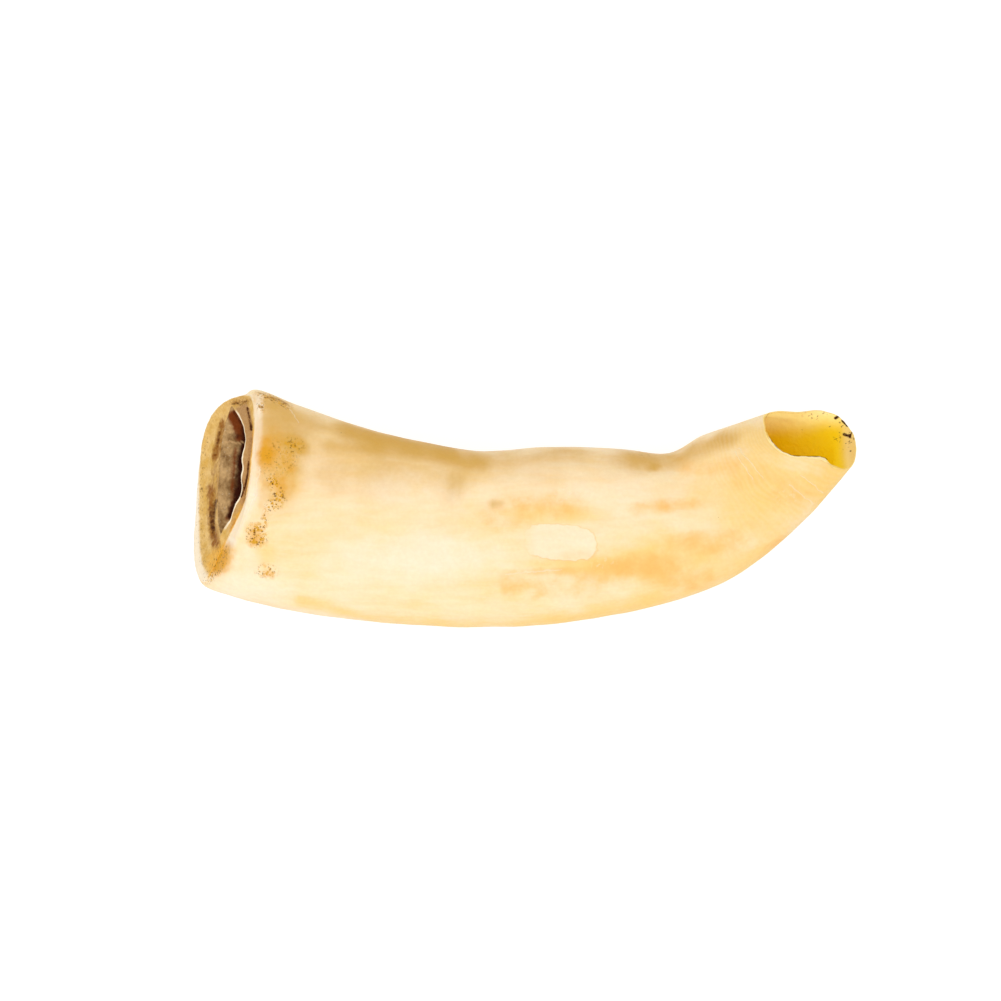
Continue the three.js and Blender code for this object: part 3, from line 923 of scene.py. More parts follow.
@dataclass(frozen=True)
class Root:
    """The open root's inner wall, from its rim to the end of the pulp cavity.

    The rim's face is as wide as the wall's edge. Its rings lie at shares of the way in across it, and
    those of the wall lie close together down to the crowded share of the cavity's depth. What colours
    the wall starts and ends at rows and columns of the view.
    """

    body: Body
    turns: Array
    rim_face: Triple = (0.3, 0.65, 0.9)
    wall_thin: float = 0.35
    wall_thick: float = 1.05
    far_edge: float = 0.12
    near_edge: float = 0.26
    end: float = 0.64
    end_share: float = 0.35
    past_end: float = 0.02
    crowded: float = 0.12
    crowded_rings: int = 22
    inner_rings: int = 13
    roughness: tuple[Triple, ...] = ((0.05, 1.2, 6.6),)
    deep_row: float = 409.0
    deep_fade: float = 36.0
    deep_climb: float = 5.0
    climb_columns: Place = (800.0, 832.0)
    deep_last_column: float = 857.0
    shaded_columns: Place = (836.0, 848.0)
    crease_last_column: float = 805.0
    dull_rows: Place = (432.0, 446.0)
    painted_light_rows: Place = (428.0, 444.0)

    def cavity(self) -> Rings:
        """Shapes the cavity, from the rim to its end.

        Returns:
            The cavity's rings.
        """
        face = len(self.rim_face)
        outer = np.linspace(0.0, self.crowded, self.crowded_rings)
        inner = np.linspace(self.crowded, 1.0, self.inner_rings)[1:]
        steps = np.concatenate([np.zeros(face), outer, inner])
        depth, turn = np.meshgrid(steps, self.turns, indexing="ij")
        along = mix(1.0, self.end, depth)
        middle = self.body.shape.middle(along)
        spoke = self.body.points_at(along, turn) - middle
        length = np.linalg.norm(spoke, axis=-1)
        near = smoothstep(np.sin(turn), 0.4, 0.75)
        wall = mix(self.wall_thin, self.wall_thick, smoothstep(-np.cos(turn), 0.2, 1.0))
        flared = mix(self.far_edge, wall, smoothstep(depth, 0.0, 0.07))
        wall = mix(flared, np.maximum(wall, self.near_edge), near)
        share = mix(1.0 - wall / length, self.end_share, depth**1.5)
        points = middle + spoke * share[..., None]
        for ring, part in enumerate(self.rim_face):
            points[ring] = mix(middle[ring] + spoke[ring], points[face], part)
        rough = unevenness(points, self.roughness) * smoothstep(depth, 0.0, 0.1)
        points = points + (rough / length)[..., None] * spoke
        return Rings(Zone.PULP, points, self.marks(points, depth, near))

    def marks(self, points: Array, depth: Array, near: Array) -> dict[Mark, Array]:
        """Lays the cavity's deep colour, whose paler straw part is partly painted light coming through the
        thin wall, the pale rim, brightened on its near face as painted light, and the dark marks by it, with
        a painted shade line inside the near rim.

        Args:
            points: The cavity's points.
            depth: The share of the way into the cavity.
            near: How much each point belongs to the rim's near side.

        Returns:
            The marks by name.
        """
        seen = to_view(points)
        column, row = seen[..., 0], seen[..., 1]
        # The straw above the deep row is partly painted light coming through the thin wall; the deep yellow
        # below is the wall's colour.
        upper_edge = self.deep_row - self.deep_climb * smoothstep(column, *self.climb_columns)
        deep = smoothstep(row - upper_edge, 0.0, self.deep_fade)
        deep = deep * smoothstep(self.deep_last_column - column, 3.0, 16.0)
        # Painted shade: the right rim face is darkened towards the shaded columns.
        deep = np.maximum(deep, 0.3 * smoothstep(column, *self.shaded_columns))
        deep = np.maximum(deep, smoothstep(depth, 0.12, 0.5))
        edge = len(self.rim_face)
        face, inner = np.zeros(depth.shape), np.zeros(depth.shape)
        face[:edge] = 1.0
        # Painted shade: a dark line on the first inner ring along the near rim's inner edge.
        inner[edge] = 0.9 * smoothstep(self.crease_last_column - column[edge], -6.0, 12.0)
        dull = 0.6 * face * (1.0 - near * smoothstep(row, *self.dull_rows))
        # Painted light: the near rim face is made pale where it stands in shade.
        painted_light_face = 0.85 * face * near * smoothstep(row, *self.painted_light_rows)
        far = {mark: value * (1.0 - near) for mark, value in lay_all(PULP_MARKS, seen).items()}
        return {
            Mark.DEEP: deep,
            Mark.GRIME_AND_SHADE: np.clip(far[Mark.GRIME_AND_SHADE] + inner * near, 0.0, 1.0),
            Mark.SPECKS: far[Mark.SPECKS],
            Mark.STAIN_AND_SHADE: np.maximum(far[Mark.STAIN_AND_SHADE], dull),
            Mark.PALE_AND_PAINTED_LIGHT: np.maximum(far[Mark.PALE_AND_PAINTED_LIGHT], painted_light_face),
            Mark.ALONG: depth,
        }

    def cavity_end(self) -> Array:
        """The innermost point of the cavity."""
        return self.body.shape.middle(self.end - self.past_end)


@dataclass(frozen=True)
class Tone:
    """A colour, given as red, green and blue from 0 to 255."""

    red: int
    green: int
    blue: int

    def light(self) -> tuple[float, float, float, float]:
        """Turns the colour into the amounts of light that a shader uses.

        Returns:
            The red, green and blue light, and 1 for a solid colour.
        """
        parts = [value / 255 for value in (self.red, self.green, self.blue)]
        red, green, blue = [p / 12.92 if p <= 0.04045 else ((p + 0.055) / 1.055) ** 2.4 for p in parts]
        return (red, green, blue, 1.0)


# The sockets of a node that mixes colours go by number, as several of them share each name.
MIX_SHARE, MIX_FIRST, MIX_SECOND, MIX_RESULT = 0, 6, 7, 2


class Graph:
    """Adds nodes to one node tree and joins them."""

    def __init__(self, tree: bpy.types.NodeTree) -> None:
        """Keeps the tree that the nodes go into."""
        self.tree = tree

    def node(self, kind: str, given: dict[Any, Any] | None = None, **settings: Any) -> bpy.types.Node:
        """Adds a node.

        Args:
            kind: Blender's name for the kind of node.
            given: What goes into its sockets, each by its name or number.
            settings: Its other settings by name.

        Returns:
            The node.
        """
        made = self.tree.nodes.new(kind)
        for name, value in settings.items():
            setattr(made, name, value)
        for socket, value in (given or {}).items():
            self.feed(made.inputs[socket], value)
        return made

    def feed(self, socket: Socket, value: Any) -> None:
        """Joins a socket to another one, or sets it to a plain value.

        Args:
            socket: The socket that takes the value.
            value: Another node's socket, or a plain value.
        """
        if isinstance(value, Socket):
            self.tree.links.new(value, socket)
        else:
            socket.default_value = value

    def math(self, operation: str, *values: Any) -> Socket:
        """Adds a sum on single values and gives its result."""
        return self.node("ShaderNodeMath", dict(enumerate(values)), operation=operation).outputs[0]

    def vector(self, operation: str, *values: Any) -> Socket:
        """Adds a sum on vectors and gives its vector."""
        made = self.node("ShaderNodeVectorMath", dict(enumerate(values)), operation=operation)
        return made.outputs["Vector"]

    def scalar(self, operation: str, *values: Any) -> Socket:
        """Adds a sum on vectors and gives its single value."""
        made = self.node("ShaderNodeVectorMath", dict(enumerate(values)), operation=operation)
        return made.outputs["Value"]

    def scaled(self, vector: Any, size: Any) -> Socket:
        """Makes a vector longer or shorter."""
        return self.node("ShaderNodeVectorMath", {0: vector, "Scale": size}, operation="SCALE").outputs[0]

    def rise(self, value: Any, low: Any, high: Any) -> Socket:
        """Rises smoothly from 0 where the value is low to 1 where it is high."""
        given = {"Value": value, "From Min": low, "From Max": high}
        return self.node("ShaderNodeMapRange", given, interpolation_type="SMOOTHSTEP").outputs["Result"]

    def sharpen(self, value: Any, spread: Any) -> Socket:
        """Rises smoothly from 0 to 1 within the spread around one half."""
        return self.rise(value, self.math("SUBTRACT", 0.5, spread), self.math("ADD", 0.5, spread))

    def blend(self, share: Any, first: Any, second: Any, way: str = "MIX") -> Socket:
        """Blends from the first colour to the second, or to their product where the way says so."""
        given = {MIX_SHARE: share, MIX_FIRST: first, MIX_SECOND: second}
        return self.node("ShaderNodeMix", given, data_type="RGBA", blend_type=way).outputs[MIX_RESULT]

    def cloud(self, place: Any, scale: Any, detail: float = 3.0) -> Socket:
        """Adds noise and gives its value, from 0 to 1."""
        return self.node("ShaderNodeTexNoise", {"Vector": place, "Scale": scale, "Detail": detail}).outputs[0]

    def drift(self, place: Any, scale: Any) -> Socket:
        """Adds noise and gives three values of it, each from 0 to 1."""
        return self.node("ShaderNodeTexNoise", {"Vector": place, "Scale": scale}).outputs["Color"]

    def split(self, place: Any) -> Any:
        """Takes a place apart and gives its x, y and z."""
        return self.node("ShaderNodeSeparateXYZ", {0: place}).outputs

    def plan(self, x: Any, y: Any) -> Socket:
        """Joins an x and a y to a place at no height."""
        return self.node("ShaderNodeCombineXYZ", {0: x, 1: y}).outputs[0]

    def use(self, group: bpy.types.NodeTree, **inputs: Any) -> Socket:
        """Places a shared effect with its own values and gives its output."""
        given = {name.replace("_", " ").capitalize(): value for name, value in inputs.items()}
        return self.node("ShaderNodeGroup", given, node_tree=group).outputs[0]


class Effect(Graph):
    """One shared effect: a group that reads a place and single values and puts out one value."""

    def __init__(self, name: str, values: dict[str, float], output: str) -> None:
        """Starts the group.

        Args:
            name: The effect's name.
            values: Its single inputs with their usual values.
            output: The name of its output.
        """
        super().__init__(bpy.data.node_groups.new(name, "ShaderNodeTree"))
        interface = self.tree.interface
        interface.new_socket("Place", in_out="INPUT", socket_type="NodeSocketVector")
        for label, usual in values.items():
            socket = interface.new_socket(label, in_out="INPUT", socket_type="NodeSocketFloat")
            socket.default_value = usual
        interface.new_socket(output, in_out="OUTPUT", socket_type="NodeSocketFloat")
        self.given = self.node("NodeGroupInput")
        self.result = self.node("NodeGroupOutput")

    def read(self, label: str) -> Socket:
        """The input of that name."""
        return self.given.outputs[label]

    def close(self, value: Any) -> bpy.types.NodeTree:
        """Puts the value out and gives the group."""
        self.feed(self.result.inputs[0], value)
        return self.tree


class Effects:
    """The effects that several finishes share, each built once."""

    FACET_POWER = 2.9
    SCRATCH_CORE = 0.3

    def __init__(self) -> None:
        """Builds all of them."""
        self.ragged = self.build_ragged()
        self.specks = self.build_specks()
        self.mottle = self.build_mottle()
        self.growth = self.build_growth()
        self.facet = self.build_facet()
        self.scratch = self.build_scratch()

    @staticmethod
    def build_ragged() -> bpy.types.NodeTree:
        """Breaks up a soft mask, so that its edge wanders.

        Returns:
            The effect's group.
        """
        values = {"Mask": 0.0, "Size": 1.0, "Raggedness": 0.6, "Softness": 0.25}
        effect = Effect("ragged edge", values, "Mask")
        cloud = effect.cloud(effect.read("Place"), effect.math("DIVIDE", 1.0, effect.read("Size")), 5.0)
        shift = effect.math("MULTIPLY", effect.math("SUBTRACT", cloud, 0.5), effect.read("Raggedness"))
        pushed = effect.math("ADD", effect.read("Mask"), shift)
        present = effect.rise(effect.read("Mask"), 0.0, 0.3)
        return effect.close(effect.math("MULTIPLY", effect.sharpen(pushed, effect.read("Softness")), present))

    @staticmethod
    def build_specks() -> bpy.types.NodeTree:
        """Scatters small uneven crumbs, of which a share shows.

        Returns:
            The effect's group.
        """
        effect = Effect("specks", {"Spacing": 0.4, "Size": 0.25, "Share": 0.5}, "Mask")
        place, spacing = effect.read("Place"), effect.read("Spacing")
        scale = effect.math("DIVIDE", 1.0, spacing)
        drift = effect.drift(place, effect.math("MULTIPLY", scale, 1.6))
        moved = effect.vector("ADD", place, effect.scaled(drift, effect.math("MULTIPLY", spacing, 1.4)))
        cells = effect.node("ShaderNodeTexVoronoi", {"Vector": moved, "Scale": scale})
        parts = effect.node("ShaderNodeSeparateColor", {0: cells.outputs["Color"]}).outputs
        reach = effect.math("MULTIPLY", effect.read("Size"), effect.math("ADD", parts[1], 0.5))
        dot = effect.rise(cells.outputs["Distance"], reach, effect.math("MULTIPLY", reach, 0.55))
        kept = effect.math("LESS_THAN", parts[0], effect.read("Share"))
        return effect.close(effect.math("MULTIPLY", dot, kept))

    @staticmethod
    def build_mottle() -> bpy.types.NodeTree:
        """Makes cloudy light and dark areas.

        Returns:
            The effect's group.
        """
        effect = Effect("mottle", {"Size": 1.0, "Contrast": 1.0}, "Value")
        cloud = effect.cloud(effect.read("Place"), effect.math("DIVIDE", 1.0, effect.read("Size")), 4.0)
        spread = effect.math("MULTIPLY", 0.25, effect.math("DIVIDE", 1.0, effect.read("Contrast")))
        return effect.close(effect.sharpen(cloud, spread))

    @staticmethod
    def build_growth() -> bpy.types.NodeTree:
        """Draws fine uneven lines round the tooth, as it grew.

        Returns:
            The effect's group.
        """
        effect = Effect("growth lines", {"Along": 0.0, "Count": 120.0, "Waver": 2.0}, "Height")
        place = effect.read("Place")
        waver = effect.math("MULTIPLY", effect.cloud(place, 0.25), effect.read("Waver"))
        run = effect.math("ADD", effect.math("MULTIPLY", effect.read("Along"), effect.read("Count")), waver)
        wave = effect.math("SINE", effect.math("MULTIPLY", run, FULL_TURN))
        lifted = effect.math("MULTIPLY_ADD", wave, 0.5, 0.5)
        return effect.close(effect.math("MULTIPLY", lifted, effect.cloud(place, 0.5, 2.0)))

    @classmethod
    def build_facet(cls) -> bpy.types.NodeTree:
        """Makes a worn patch with a crisp rounded outline, placed as seen from above.

        Returns:
            The effect's group.
        """
        halves = {"Half length": 1.0, "Half width": 1.0}
        effect = Effect("worn facet", {"Middle x": 0.0, "Middle y": 0.0, **halves, "Softness": 0.05}, "Mask")
        place, softness = effect.read("Place"), effect.read("Softness")
        total: Any = 0.0
        for part, middle, half in zip(effect.split(place), ("Middle x", "Middle y"), halves):
            away = effect.math("ABSOLUTE", effect.math("SUBTRACT", part, effect.read(middle)))
            share = effect.math("DIVIDE", away, effect.read(half))
            total = effect.math("ADD", effect.math("POWER", share, cls.FACET_POWER), total)
        reach = effect.math("ADD", effect.math("POWER", total, 1 / cls.FACET_POWER), -1.0)
        uneven = effect.math("SUBTRACT", effect.cloud(place, 1.2, 2.0), 0.5)
        reach = effect.math("ADD", reach, effect.math("MULTIPLY", uneven, 0.3))
        return effect.close(effect.rise(reach, softness, effect.math("MULTIPLY", softness, -1.0)))

    @classmethod
    def build_scratch(cls) -> bpy.types.NodeTree:
        """Draws a thin wavering line between two places seen from above.

        Returns:
            The effect's group.
        """
        ends = {"Start x": 0.0, "Start y": 0.0, "End x": 1.0, "End y": 0.0}
        effect = Effect("scratch", {**ends, "Width": 0.1, "Waver": 0.3}, "Mask")
        place, width = effect.read("Place"), effect.read("Width")
        drift = effect.vector("SUBTRACT", effect.drift(place, 1.1), (0.5, 0.5, 0.5))
        moved = effect.vector("ADD", place, effect.scaled(drift, effect.read("Waver")))
        flat = effect.vector("MULTIPLY", moved, (1.0, 1.0, 0.0))
        start = effect.plan(effect.read("Start x"), effect.read("Start y"))
        end = effect.plan(effect.read("End x"), effect.read("End y"))
        run = effect.vector("SUBTRACT", end, start)
        away = effect.vector("SUBTRACT", flat, start)
        given = {0: effect.scalar("DOT_PRODUCT", away, run), 1: effect.scalar("DOT_PRODUCT", run, run)}
        share = effect.node("ShaderNodeMath", given, operation="DIVIDE", use_clamp=True).outputs[0]
        gap = effect.scalar("LENGTH", effect.vector("SUBTRACT", away, effect.scaled(run, share)))
        return effect.close(effect.rise(gap, width, effect.math("MULTIPLY", width, cls.SCRATCH_CORE)))


class Finish(Graph):
    """A material in the making, with its Principled shader."""

    def __init__(self, name: str) -> None:
        """Starts the material.

        Args:
            name: The material's name.
        """
        self.material = bpy.data.materials.new(name)
        self.material.use_nodes = True
        self.material.node_tree.nodes.clear()
        super().__init__(self.material.node_tree)
        self.shader = self.node("ShaderNodeBsdfPrincipled")
        self.output = self.node("ShaderNodeOutputMaterial", {"Surface": self.shader.outputs[0]})


class Coat(Finish):
    """A finish of the tooth. Its colours are laid one over the other where their masks are."""

    def __init__(self, name: str, effects: Effects) -> None:
        """Starts the material.

        Args:
            name: The material's name.
            effects: The shared effects.
        """
        super().__init__(name)
        self.effects = effects
        self.place = self.scaled(self.node("ShaderNodeTexCoord").outputs["Object"], 1.0 / MM)
        self.base: Any = None

    def laid(self, mark: Mark) -> Socket:
        """Reads what was laid on the surface under the mark's name."""
        return self.node("ShaderNodeAttribute", attribute_name=mark.value).outputs["Fac"]

    def mottle(self, size: float, contrast: float = 1.0, place: Any = None) -> Socket:
        """Places cloudy areas of a size in millimetres and gives their mask."""
        place = self.place if place is None else place
        return self.use(self.effects.mottle, place=place, size=size, contrast=contrast)

    def ragged(self, mark: Mark, size: float, raggedness: float, softness: float) -> Socket:
        """Gives what was laid under a mark, with an edge that wanders by a size in millimetres."""
        look = {"size": size, "raggedness": raggedness, "softness": softness}
        return self.use(self.effects.ragged, place=self.place, mask=self.laid(mark), **look)

    def specks(self, spacing: float, size: float, share: float, mark: Mark | None = None) -> Socket:
        """Scatters crumbs.

        Args:
            spacing: How far apart they are, in millimetres.
            size: Their size as a share of the spacing.
            share: The share of them that shows.
            mark: Where they lie, or None for all over.

        Returns:
            Their mask.
        """
        crumbs = self.use(self.effects.specks, place=self.place, spacing=spacing, size=size, share=share)
        return crumbs if mark is None else self.math("MULTIPLY", crumbs, self.laid(mark))

    def lines(self, lines: Sequence[Line], width: float, waver: float) -> Any:
        """Draws thin lines.

        Args:
            lines: The column and row of each line's start, and those of its end.
            width: Their width in millimetres.
            waver: How far they stray, in millimetres.

        Returns:
            The mask of all of them.
        """
        mask: Any = 0.0
        look = {"place": self.place, "width": width, "waver": waver}
        for line in lines:
            (start_x, start_y), (end_x, end_y) = from_view(np.reshape(line, (2, 2))).tolist()
            ends = {"start_x": start_x, "start_y": start_y, "end_x": end_x, "end_y": end_y}
            mask = self.math("MAXIMUM", self.use(self.effects.scratch, **look, **ends), mask)
        return mask

    def cover(self, mask: Any, tone: Tone, share: float = 1.0, way: str = "MIX") -> None:
        """Lays a colour over what is there.

        Args:
            mask: Where it goes.
            tone: The colour.
            share: How much of it is laid on.
            way: Blender's name for the way of mixing.
        """
        weight = mask if share == 1.0 else self.math("MULTIPLY", mask, share)
        self.base = self.blend(weight, self.base, tone.light(), way)

    def cover_marks(self, *layers: tuple[Mark, Tone, float, float, float]) -> None:
        """Lays the colours of several marks, each with its size, raggedness and softness."""
        for mark, tone, size, raggedness, softness in layers:
            self.cover(self.ragged(mark, size, raggedness, softness), tone)

    def close(self, gloss: Any, height: Any, matt: Place, relief: Place, mirror: float) -> Material:
        """Joins colour, gloss and relief to the shader.

        Args:
            gloss: Where the surface is rougher.
            height: The height of its relief.
            matt: What the gloss adds to the roughness, and the least roughness.
            relief: The relief's depth in millimetres and its strength.
            mirror: How much the surface mirrors.

        Returns:
            The material.
        """
        raised = {"Distance": relief[0] * MM, "Strength": relief[1], "Height": height}
        self.feed(self.shader.inputs["Base Color"], self.base)
        self.feed(self.shader.inputs["Roughness"], self.math("MULTIPLY_ADD", gloss, *matt))
        self.feed(self.shader.inputs["Normal"], self.node("ShaderNodeBump", raised).outputs[0])
        self.shader.inputs["Specular IOR Level"].default_value = mirror
        return self.material


@dataclass(frozen=True)
class SkinFinish:
    """Ivory enamel and cementum with golden stains, amber spots and dark specks. The golden-brown band along
    the upper hollow edge is partly stain and partly painted shade.
    """

    cream: Tone = Tone(253, 230, 190)
    warm: Tone = Tone(252, 223, 166)
    honey: Tone = Tone(250, 209, 126)
    # Golden-brown of stains, and painted shade along the hollow edge.
    stain_and_shade: Tone = Tone(216, 168, 78)
    amber: Tone = Tone(226, 160, 34)
    blush: Tone = Tone(249, 192, 108)
    pale: Tone = Tone(254, 238, 212)
    crumbs: Tone = Tone(216, 156, 20)
    specks: Tone = Tone(112, 68, 0)
    grime_and_shade: Tone = Tone(158, 108, 26)
    line: Tone = Tone(255, 244, 222)
    shade: Tone = Tone(214, 178, 128)
    roughness: float = 0.36
    facet_middle: Place = (560.0, 542.0)
    facet_half: Place = (36.0, 18.0)
    facet_slant: float = 0.07
    facet_softness: float = 0.045
    facet_fade: Place = (3.3, 1.8)
    upper_from: Place = (6.0, 7.0)
    light_weight: float = 0.12
    light_reach: Triple = (1.0, 0.6, 0.3)
    scratch_width: float = 0.08
    scratch_waver: float = 0.5
    scratches: tuple[Line, ...] = (
        (291.0, 409.0, 299.0, 423.0),
        (505.0, 574.0, 562.0, 569.0),
        (738.0, 448.0, 762.0, 478.0),
        (734.0, 452.0, 752.0, 480.0),
        (788.0, 484.0, 812.0, 504.0),
        (800.0, 476.0, 822.0, 492.0),
        (261.0, 468.0, 256.0, 500.0),
        (255.0, 498.0, 244.0, 524.0),
    )

    def make(self, effects: Effects) -> Material:
        """Builds the finish.

        Args:
            effects: The shared effects.

        Returns:
            The material.
        """
        coat = Coat("tooth skin", effects)
        coat.base = coat.blend(coat.mottle(6.0, 1.2), self.cream.light(), self.warm.light())
        drawn = coat.vector("MULTIPLY", coat.place, (0.22, 1.0, 1.0))
        coat.cover(coat.mottle(1.1, 1.1, drawn), self.blush, 0.22)
        coat.cover(coat.mottle(0.45, 1.6, drawn), self.pale, 0.22)
        coat.cover_marks(
            (Mark.HONEY, self.honey, 3.0, 0.8, 0.5),
            (Mark.BLUSH, self.blush, 1.6, 1.3, 0.5),
            # Stain, partly painted shade along the hollow edge.
            (Mark.STAIN_AND_SHADE, self.stain_and_shade, 2.2, 0.45, 0.5),
            (Mark.PALE_AND_PAINTED_LIGHT, self.pale, 1.6, 0.6, 0.5),
            (Mark.AMBER, self.amber, 0.8, 0.8, 0.5),
            (Mark.GRIME_AND_SHADE, self.grime_and_shade, 0.3, 2.4, 0.4),
        )
        coat.cover(coat.specks(0.26, 0.68, 0.7, Mark.SPECKS), self.crumbs, 0.95)
        dots = coat.specks(0.17, 0.5, 0.38, Mark.SPECKS)
        coat.cover(dots, self.specks)
        coat.cover(coat.specks(1.6, 0.06, 0.04), self.specks, 0.6)
        facet, edge, lines = self.wear(coat)
        coat.cover(facet, self.pale, 0.5)
        coat.cover(edge, self.blush, 1.6)
        lines = coat.math("MAXIMUM", lines, coat.specks(0.3, 0.5, 0.4, Mark.PITS))
        coat.cover(lines, self.line, 0.26)
        along = coat.laid(Mark.ALONG)
        growth = coat.use(effects.growth, place=coat.place, along=along, count=90.0, waver=5.0)
        growth = coat.math("MULTIPLY", growth, coat.rise(along, 0.72, 0.92))
        coat.cover(growth, self.line, 0.14)
        grain = coat.mottle(0.3, 0.8)
        coat.cover(grain, self.shade, 0.1, "MULTIPLY")
        height: Any = 0.0
        for mask, weight in ((growth, 0.3), (grain, 0.25), (dots, -0.15), (facet, -1.0), (lines, 0.6)):
            height = coat.math("MULTIPLY_ADD", mask, weight, height)
        coat.shader.inputs["Subsurface Weight"].default_value = self.light_weight
        coat.shader.inputs["Subsurface Radius"].default_value = self.light_reach
        coat.shader.inputs["Subsurface Scale"].default_value = MM
        return coat.close(coat.mottle(1.4), height, (0.12, self.roughness), (0.06, 0.6), 0.14)

    def wear(self, coat: Coat) -> list[Any]:
        """Places the worn facet and the scratches on the upper side.

        Args:
            coat: The finish in the making.

        Returns:
            The masks of the facet, of its edge and of all the scratches.
        """
        x, y = from_view(np.array(self.facet_middle)).tolist()
        across, down, height = coat.split(coat.place)
        above = coat.rise(height, *self.upper_from)
        slanted = coat.math("MULTIPLY_ADD", across, self.facet_slant, down)
        tilted = coat.plan(across, coat.math("SUBTRACT", slanted, self.facet_slant * x))
        half_length, half_width = (half * CELL for half in self.facet_half)
        size = {"half_length": half_length, "half_width": half_width, "softness": self.facet_softness}
        facet = coat.use(coat.effects.facet, place=tilted, middle_x=x, middle_y=y, **size)
        edge = coat.math("MULTIPLY", facet, coat.math("SUBTRACT", 1.0, facet))
        faded, full = self.facet_fade
        fading = coat.math("MULTIPLY", above, coat.rise(across, x - faded, x - full))
        lines = coat.lines(self.scratches, self.scratch_width, self.scratch_waver)
        weighed = ((facet, fading), (edge, fading), (lines, above))
        return [coat.math("MULTIPLY", mask, weight) for mask, weight in weighed]


@dataclass(frozen=True)
class TableFinish:
    """The worn table: pale enamel ridges round tan dentine with brown stars."""

    dentine: Tone = Tone(242, 204, 132)
    worn: Tone = Tone(224, 180, 92)
    enamel: Tone = Tone(253, 236, 206)
    star: Tone = Tone(156, 98, 28)
    amber: Tone = Tone(246, 188, 78)
    cement: Tone = Tone(194, 150, 96)
    grime_and_shade: Tone = Tone(88, 44, 4)
    shade: Tone = Tone(200, 165, 110)
    roughness: float = 0.42

    def make(self, effects: Effects) -> Material:
        """Builds the finish.

        Args:
            effects: The shared effects.

        Returns:
            The material.
        """
        coat = Coat("tooth table", effects)
        coat.base = coat.blend(coat.mottle(1.1, 1.3), self.dentine.light(), self.worn.light())
        coat.cover_marks(
            (Mark.AMBER, self.amber, 0.6, 1.4, 0.5),
            (Mark.DEEP, self.cement, 0.5, 0.8, 0.45),
            (Mark.STAIN_AND_SHADE, self.star, 0.4, 1.4, 0.5),
            (Mark.PALE_AND_PAINTED_LIGHT, self.enamel, 0.5, 0.7, 0.45),
            (Mark.GRIME_AND_SHADE, self.grime_and_shade, 0.25, 1.2, 0.4),
        )
        coat.cover(coat.specks(0.18, 0.46, 0.4, Mark.SPECKS), self.grime_and_shade, 0.7)
        bare = coat.math("SUBTRACT", 1.0, coat.laid(Mark.PALE_AND_PAINTED_LIGHT))
        grain = coat.math("MULTIPLY", coat.mottle(0.22), coat.math("MULTIPLY_ADD", bare, 0.8, 0.2))
        coat.cover(grain, self.shade, 0.3, "MULTIPLY")
        return coat.close(grain, grain, (0.15, self.roughness), (0.08, 0.6), 0.1)


@dataclass(frozen=True)
class CupFinish:
    """The cup's wall: granular grey-beige cement that turns dark brown towards the bottom, partly brown stain
    and partly painted shade of the deep slit.
    """

    cement: Tone = Tone(212, 172, 118)
    crumbs: Tone = Tone(124, 88, 46)
    chalk: Tone = Tone(244, 226, 198)
    # The bottom and rust tones are partly stain and partly painted shade of the slit.
    bottom: Tone = Tone(56, 14, 0)
    rust_and_shade: Tone = Tone(120, 56, 16)
    ledge: Tone = Tone(214, 170, 116)
    roughness: float = 0.5

    def make(self, effects: Effects) -> Material:
        """Builds the finish.

        Args:
            effects: The shared effects.

        Returns:
            The material.
        """
        coat = Coat("tooth cup", effects)
        fine = coat.math("MULTIPLY", coat.mottle(0.3), 0.35)
        grain = coat.math("MULTIPLY_ADD", coat.mottle(1.3, 1.8), 0.65, fine)
        coat.base = coat.blend(grain, self.crumbs.light(), self.cement.light())
        coat.cover(coat.specks(0.2, 0.4, 0.16), self.chalk, 0.22)
        # Partly painted shade: rust and dark bottom laid over the slit's marks.
        coat.cover_marks(
            (Mark.AMBER, self.rust_and_shade, 0.4, 1.0, 0.45),
            (Mark.DEEP, self.bottom, 0.5, 0.8, 0.5),
        )
        coat.cover(coat.laid(Mark.PALE_AND_PAINTED_LIGHT), self.ledge)
        return coat.close(grain, grain, (0.2, self.roughness), (0.2, 0.7), 0.05)


